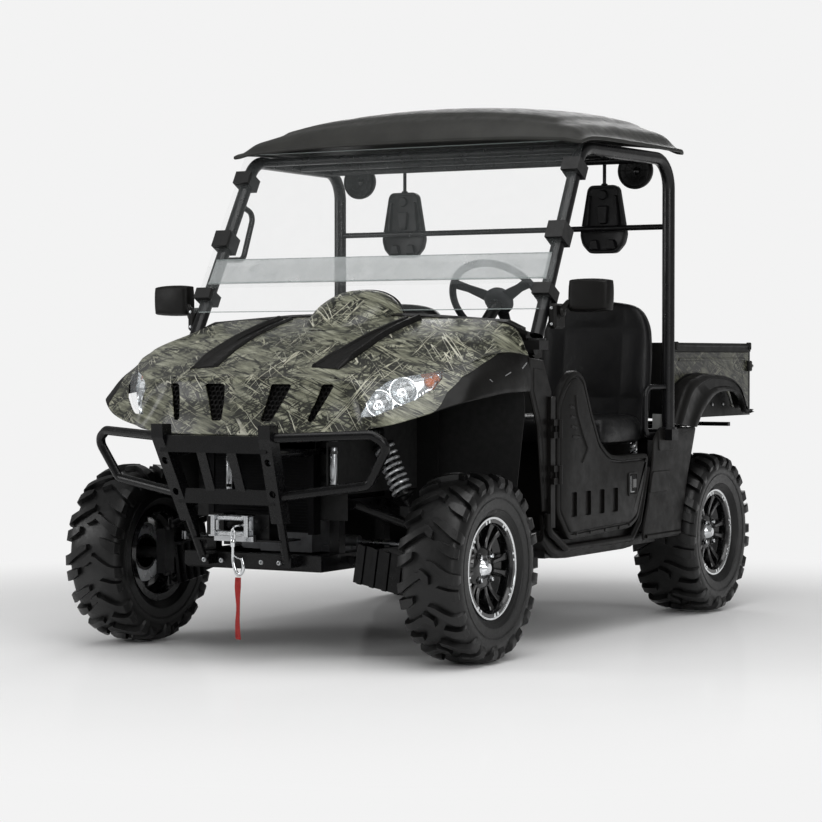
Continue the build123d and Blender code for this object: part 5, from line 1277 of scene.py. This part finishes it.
grip = Build()
grip.pipe([HUB + wheel_way(a) * GRIP_RADIUS for a in circle(96)],
          [13.2 + 1.2 * max(0.0, math.cos(3 * 2 * math.pi * n / 96)) for n in range(96)], 14, closed=True)
for angle in (90, 210, 330):
    out = wheel_way(math.radians(angle))
    across = AXIS.cross(out)
    rings = []
    # distance from the hub, half width, set back
    for r, wide, drop in ((30, 26, 8), (70, 22, 10), (120, 17, 8), (172, 21, 2)):
        middle = HUB + out * r + AXIS * drop
        rings.append([middle - across * wide - AXIS * 3, middle - across * (wide - 4) - AXIS * 6,
                      middle + across * (wide - 4) - AXIS * 6, middle + across * wide - AXIS * 3,
                      middle + across * (wide - 2) + AXIS * 4, middle - across * (wide - 2) + AXIS * 4])
    grip.loft(rings)
grip.lathe([(-14, 0), (-14, 34), (-10, 46), (0, 54), (12, 56), (26, 50), (30, 30), (30, 0)], HUB, AXIS, 40)
grip.lathe([(-17, 0), (-17, 20), (-15, 24), (-13, 24)], HUB, AXIS, 32, 1)
grip.make("steering_wheel", "wheel_foam gloss_black", body="steering_wheel", sharp=45)


# ------------------------------------------------------------------ doors and side panels
def moulded(b, outline, levels, finish=0):
    """Moulding on an outline of (y, z): rings of (x, inset)."""
    b.loft([[(x, y, z) for y, z in inset(outline, step)] for x, step in levels], finish)


DOOR = [(548, 470), (548, 862), (604, 930), (668, 970), (722, 972), (772, 946), (836, 820), (905, 712),
        (985, 664), (1060, 655), (1312, 657), (1326, 640), (1300, 538), (1234, 408), (1164, 380), (642, 368)]
door = Build()
moulded(door, cornered(DOOR, 26), [(703, 0.5), (722, 0.5), (727, 2), (730, 6), (730.5, 17), (726, 20),
                                   (726, 25), (731, 28), (733, 34)])
# raised curved line and the ribs under it
wing = smooth_line([(735, 690, 884), (735, 704, 822), (735, 736, 762), (735, 776, 706), (735, 786, 684),
                    (735, 748, 640)], 4)
door.loft([[p + Vector(step) for step in ((-3, -7, 0), (2, -4, 1), (2, 4, 1), (-3, 7, 0))] for p in wing])
for z, y0, y1 in ((846, 640, 676), (810, 646, 684), (774, 652, 700), (738, 660, 722)):
    door.loft([[(732, y0, z - 8), (736.5, y0 + 4, z - 3), (736.5, y0 + 4, z + 3), (732, y0, z + 8)],
               [(732, y1, z - 14), (736.5, y1 - 4, z - 9), (736.5, y1 - 4, z - 3), (732, y1, z + 2)]])
for y in (700, 815, 940, 1060, 1150):
    door.lathe([(0, 7), (2.5, 6.5), (3.5, 4), (3.5, 0)], (730, y, 388 if y < 1100 else 396), count=16)
door_cutters = [cutter([(724, py, pz) for py, pz in cornered([(y - 22, 450), (y + 24, 450), (y + 24, 538),
                                                              (y - 22, 538)], 7)], (20, 0, 0))
                for y in (676, 792, 906, 1022)]
door_piece = door.make("left_door", "black_plastic", body="left_door", sharp=32)
cut(door_piece, door_cutters)
remove(door_cutters)
# latch in its bezel and the hinges
HANDLE = cornered([(1132, 500), (1214, 500), (1214, 590), (1132, 590)], 14)
fittings = Build()
moulded(fittings, HANDLE, [(732, 0), (737, 1), (737, 7), (733.6, 9)])
moulded(fittings, HANDLE, [(733.2, 8.5), (733.8, 9.5)], 3)
fittings.block((733.8, 1152, 514), (736, 1157, 576), 0.6, 2)
fittings.block((733.8, 1157, 514), (736, 1186, 519), 0.6, 2)
fittings.loft([[(733.8, 1166, outer), (739, 1168, inner), (739, 1196, inner), (733.8, 1198, outer)]
               for outer, inner in ((530, 532), (566, 564))], 1)
for z in (606, 768):
    fittings.block((716, 530, z - 26), (736, 570, z + 26), 5)
    fittings.lathe([(-30, 0), (-30, 9), (30, 9), (30, 0)], (742, 543, z), UP, 20)
fittings_piece = fittings.make("left_door_fittings", "black_plastic gloss_black dull_silver dark_gap",
                               body="left_door", slot="black_plastic", bevel=1.0)
mirror_copy(door_piece, "right_door", "right_door", ["right_door"])
mirror_copy(fittings_piece, "right_door_fittings", "right_door")

PANEL = [(1356, 640), (1356, 700), (1420, 752), (1770, 745), (1690, 560), (1612, 326), (1268, 326),
         (1268, 372), (1312, 470)]
PANEL_PADS = ([(1404, 660), (1398, 742), (1560, 738), (1540, 660)],
              [(1318, 504), (1346, 586), (1520, 586), (1500, 504)])
panels = Build()
moulded(panels, cornered(PANEL, 18), [(728, 0), (732.5, 0), (734.5, 3), (735, 9)])
for outline in PANEL_PADS:
    moulded(panels, cornered(outline, 16), [(733, 0), (737, 0.5), (739, 3)])
panels.loft([[(735, y, 334), (742, y, 334), (742, y, 344), (735, y, 350)] for y in (1290, 1606)])
panels.mirrored().make("side_panels", "black_plastic", bevel=1.0)

# closed moulding under the doors: section of (x, z), then y and lift along it
ROCKER = [(644, 300), (690, 300), (700, 308), (703, 330), (697, 392), (690, 398), (684, 392), (688, 338),
          (684, 322), (644, 318)]
rocker = Build()
rocker.loft([[(x, y, z + lift) for x, z in ROCKER] for y, lift in ((498, 70), (560, 24), (620, 4), (700, 0),
                                                                   (1180, 0), (1250, 4), (1300, 20))])
rocker.mirrored().make("rocker_mouldings", "black_plastic", bevel=1.5)

# ------------------------------------------------------------------ cargo bed
# outer and inner edge of the flare as (y, z), then x and share of the way between them round its section
FLARE = [((1524, 762), (1718, 745)), ((1640, 905), (1790, 810)), ((1760, 944), (1900, 868)),
         ((1860, 952), (2010, 882)), ((2050, 940), (2110, 876)), ((2165, 900), (2180, 846)),
         ((2236, 816), (2222, 790)), ((2300, 806), (2300, 792))]
FLARE_SECTION = ((704, 0.0), (740, 0.0), (752, 0.02), (761, 0.09), (764, 0.2), (764, 0.24), (759, 0.28),
                 (759, 0.7), (765, 0.76), (766, 0.9), (762, 0.98), (748, 1.0), (742, 0.94), (748, 0.5),
                 (736, 0.16), (704, 0.12))
flare = Build()
outer, inner = (smooth_line([(0, *pair[k]) for pair in FLARE], 5) for k in (0, 1))
flare.loft([[Vector((x, 0, 0)) + o.lerp(i, share) for x, share in FLARE_SECTION]
            for o, i in zip(outer, inner)])
flare.prism([(702, y, z) for y, z in ((1524, 762), (1560, 800), (1600, 848), (1640, 846), (1720, 800),
                                      (1740, 745))],
            (8, 0, 0), edge=3)
flare.mirrored().make("rear_fenders", "black_plastic", sharp=40)

# y and lower edge of the bed's side skin, over the flare and down behind it
SKIN = [(1650, 915), (1700, 932), (1760, 950), (1860, 957), (1960, 952), (2050, 945), (2110, 926),
        (2165, 904), (2205, 860), (2240, 812), (2412, 812)]
skins = Build()
skins.loft([[(689.5, y, low), (693.5, y, low + 2), (693.5, y, 1038), (689.5, y, 1040)] for y, low in SKIN])
skins.loft([[(693, y, 1003), (697, y, 1006), (697, y, 1014), (693, y, 1017)] for y in (1690, 2372)])
# the skins take the darker camouflage copy, which is painted shade
skins.mirrored().make("bed_side_skins", "camo_shaded", body="cargo_bed", slot="camo_plastic", sharp=30)
# top rail with its ends, latch, screws and the floor's ribs
bed = Build()
bed.pipe([(694, 1644, 1066), (694, 2418, 1066)], 9, 12)
for y in (1655, 2408):
    bed.block((688, y - 12, 1048), (706, y + 12, 1080), 4)
bed.block((692, 2392, 960), (708, 2424, 1004), 4)
bed.lathe([(0, 8), (12, 8), (14, 5), (14, 0)], (700, 2424, 982), REAR, 16, 1)
for n in range(7):
    bed.lathe([(0, 7), (3, 6.5), (4.5, 3), (4.5, 0)], (693.5, 1700 + n * 110, 828), count=12, finish=1)
bed.mirrored()
for n in range(9):
    x = -560 + n * 140
    bed.loft([[(x - 22, y, 800.5), (x - 14, y, 806), (x + 14, y, 806), (x + 22, y, 800.5)]
              for y in (1668, 2396)])
bed.make("bed_fittings", "bed_plastic dull_silver", body="cargo_bed", slot="bed_plastic", bevel=1.0)

# ------------------------------------------------------------------ winch hook and strap
HOOK = Vector((28, -448.5, 459))


def on_hook(*steps):
    """Points below the end of the rope: x, y and how far down of each."""
    return [HOOK + Vector((x, y, -down)) for x, y, down in steps]


hook = Build()
hook.pipe(smooth_line(on_hook((0, 86.5, 0), (0, 43.5, 0), (0, 4, 4), (0, 0, 14)), 4), 3.4)
for n in range(14):
    hook.lathe([(0, 3.3), (1, 4.1), (2, 3.3)], HOOK + Vector((0, 76.5 - n * 5, 0)), FRONT, 10)
hook.pipe(smooth_line(on_hook((-6, 0, 16), (-7, 0, 34), (0, 0, 46), (7, 0, 34), (6, 0, 16), (0, 0, 8)), 5,
                      closed=True),
          3.0, 8, closed=True)
hook.lathe([(0, 7), (4, 9), (22, 9), (26, 7), (26, 0)], HOOK - Vector((0, 0, 42)), DOWN, 20)
hook.pipe(smooth_line(on_hook((0, 0, 66), (0, 0, 106), (4, 0, 130), (12, 0, 151), (20, 0, 158), (32, 0, 154),
                              (40, 0, 140), (40, 0, 122), (34, 0, 104)), 5),
          [5.0 + 1.6 * math.sin(math.pi * n / 40) for n in range(41)], 12)
hook.pipe(on_hook((3, 0, 96), (18, 0, 104), (34, 0, 108)), 2.2, 8)
hook.make("winch_hook", "chrome_steel", sharp=50)


def nurbs_line(route):
    """Points in millimetres along the smooth line that a route's points control."""
    data = bpy.data.curves.new("route", "CURVE")
    data.dimensions = "3D"
    spline = data.splines.new("NURBS")
    spline.points.add(len(route) - 1)
    for point, at in zip(spline.points, route):
        point.co = (*at, 1)
    spline.order_u = 3
    spline.use_endpoint_u = True
    spline.resolution_u = 12
    holder = bpy.data.objects.new("route", data)
    mesh = bpy.data.meshes.new_from_object(holder)
    line = [vertex.co.copy() for vertex in mesh.vertices]
    bpy.data.objects.remove(holder)
    bpy.data.curves.remove(data)
    bpy.data.meshes.remove(mesh)
    return line


STRAP = [(48, -448.5, 290.7), (46, -449.5, 242), (50, -450.5, 190), (46, -451.5, 137), (49, -450.5, 86)]
STRAP_SECTION = ((-1, -0.6), (-0.96, -1), (0.96, -1), (1, -0.6), (1, 0.6), (0.96, 1), (-0.96, 1), (-1, 0.6))
strap = Build()
line = nurbs_line(STRAP)
rings = []
for n, p in enumerate(line):
    share = n / (len(line) - 1)
    # drawn narrower between its sewn ends, slightly twisted, doubled at the ends
    wide = 11 if share < 0.12 or share > 0.86 else 11 - 4.5 * math.sin(math.pi * (share - 0.12) / 0.74)
    thick = 1.9 if share < 0.14 or share > 0.9 else 1.3
    twist = math.radians(14 * math.sin(share * 5.0))
    rings.append([p + Vector((u * wide * math.cos(twist) - v * thick * math.sin(twist),
                              u * wide * math.sin(twist) + v * thick, 0)) for u, v in STRAP_SECTION])
strap.loft(rings)
# stitches across both ends
for z in (284, 279, 262, 257, 100, 95):
    y = -451.2 if z > 200 else -453.2
    strap.loft([[(x, y, z - 0.6), (x, y - 0.8, z), (x, y, z + 0.6)] for x in (38, 57)])
strap_piece = strap.make("hook_strap", "strap_webbing")

# ------------------------------------------------------------------ behind the bumper and in the wheel wells
linings = Build()
linings.prism([(x, 352, z) for x, z in ((306, 470), (306, 962), (560, 962), (684, 930), (700, 880),
                                        (700, 820), (660, 470))], (0, 4, 0), edge=1)
linings.block((-290, -352, 715), (290, -345, 768), 1)
linings.prism([(300, y, z) for y, z in ((-300, 560), (-300, 738), (-120, 750), (120, 800), (300, 900),
                                        (345, 900), (345, 560))], (3, 0, 0), edge=1)
linings.block((190, -172, 470), (303, -168, 760), 1)
linings.mirrored().make("wheel_well_linings", "dark_gap", slot="skid_plastic")

pipes = Build()
for x, y, z0, z1 in ((-118, -250, 556, 690), (318, -284, 566, 722)):
    long = z1 - z0
    pipes.lathe([(0, 0), (0, 11), (3, 13), (long - 3, 13), (long, 11), (long, 0)], (x, y, z0), UP, 20)
    for z in (z0 + 22, z1 - 22):
        pipes.lathe([(0, 14), (0, 16), (10, 16), (10, 14)], (x, y, z), UP, 20, 1, closed=True)
for n in range(30):
    pipes.block((-184, -238.5, 440 + n * 10), (184, -236.2, 442 + n * 10), 0.4, 2)
pipes.make("cooling_pipes", "bright_steel gloss_black radiator_metal", slot="radiator_metal")

bolts = Build()
for z in (570, 675):
    # on the bumper's posts, which lean outwards and forwards
    share = (z - 470) / 282
    bolts.nut([(10, 8), (14, 8), (16, 6), (16, 0)], (182 + share * 30, -410 - share * 124, z), REAR)
for x in (-150, -80, 80, 150):
    bolts.nut([(0, 9), (0, 9), (5, 8), (6, 4), (6, 0)], (x, -356.5, 336), FRONT)
bolts.mirrored().make("bumper_bolts", "bright_steel", bevel=0.5)

# blank tag on the left rear post
tag = Build()
tag.block((672, 1486.5, 736), (717, 1489, 800), 0.8)
tag.make("blank_tag", "blank_plate", slot="bright_steel")

shock_pair("front_shocks", 0.0, (322, 764), (446, 500), (0.20, 0.82))
shock_pair("rear_shocks", WHEELBASE, (310, 703), (446, 500), (0.22, 0.80))

# ------------------------------------------------------------------ floor, background and light
BACKGROUND = linear("f3f3f3")
FADE = (1.75, 3.6)      # where the floor turns into the background's own colour, in metres from the middle


def floor_look():
    """Pale floor that takes the shadow near the vehicle and fades into the background's own colour."""
    n = Look("pale_floor")
    n.tree.nodes.remove(n.shader)
    output = next(node for node in n.tree.nodes if node.type == "OUTPUT_MATERIAL")
    seen = n.add("ShaderNodeLightPath").outputs
    eye = n.math("MAXIMUM", n.math("MAXIMUM", seen["Is Camera Ray"], seen["Is Glossy Ray"]),
                 seen["Is Transmission Ray"])
    cloud = n.ramp(n.noise(3.0, 3.0), [(0.3, [c * 0.99 for c in BACKGROUND]), (0.7, BACKGROUND)])
    lit = n.add("ShaderNodeBsdfDiffuse", {"Color": cloud})
    gloss = n.add("ShaderNodeBsdfGlossy", {"Color": (1, 1, 1, 1), "Roughness": 0.08})
    polished = n.add("ShaderNodeMixShader", {0: 0.11, 1: lit.outputs[0], 2: gloss.outputs[0]})
    glow = n.add("ShaderNodeEmission", {"Color": BACKGROUND + [1], "Strength": 1.0})
    reach = n.add("ShaderNodeVectorMath", {0: n.coordinate}, operation="LENGTH").outputs["Value"]
    far = n.map(reach, *FADE, 0.0, 1.0, interpolation_type="SMOOTHSTEP")
    mixed = n.add("ShaderNodeMixShader", {0: n.math("MULTIPLY", far, eye), 1: polished.outputs[0],
                                          2: glow.outputs[0]})
    n.tree.links.new(mixed.outputs[0], output.inputs["Surface"])
    return looks["pale_floor"]


floor_mesh = bpy.data.meshes.new("floor")
floor_mesh.from_pydata([(-60, -60, 0), (60, -60, 0), (60, 60, 0), (-60, 60, 0)], [], [(0, 1, 2, 3)])
floor_mesh.materials.append(floor_look())
floor = new_object("floor", floor_mesh)
floor.location.z = -0.0015

world = bpy.data.worlds.new("studio")
bpy.context.scene.world = world
studio = Nodes(world)
ambient = studio.tree.nodes["Background"]
ambient.inputs["Color"].default_value = (1, 1, 1, 1)
ambient.inputs["Strength"].default_value = 0.28
shown = studio.add("ShaderNodeBackground", {"Color": BACKGROUND + [1], "Strength": 1.0})
rays = studio.add("ShaderNodeLightPath").outputs
direct = studio.math("MAXIMUM", rays["Is Camera Ray"], rays["Is Transmission Ray"])
choose = studio.add("ShaderNodeMixShader", {0: direct, 1: ambient.outputs[0], 2: shown.outputs[0]})
studio.tree.links.new(choose.outputs[0], studio.tree.nodes["World Output"].inputs["Surface"])

# place, aimed at, width and height of the lamp, power in watts
for position, target, size, power in [((1.2, -1.6, 5.2), (0, 0, 0.8), (5.0, 5.0), 205),
                                      ((5.5, -4.5, 3.0), (0.2, -0.6, 0.8), (3.0, 2.6), 105),
                                      ((-4.8, -4.6, 2.6), (0, -0.6, 0.9), (2.6, 2.4), 85),
                                      ((-2.0, 5.5, 3.6), (0, 0.4, 1.2), (3.5, 2.5), 95)]:
    softbox = bpy.data.lights.new("softbox", "AREA")
    softbox.shape = "RECTANGLE"
    softbox.size, softbox.size_y = size
    softbox.energy = power
    lamp = new_object("softbox", softbox)
    lamp.location = position
    lamp.rotation_euler = (Vector(target) - Vector(position)).to_track_quat("-Z", "Y").to_euler()
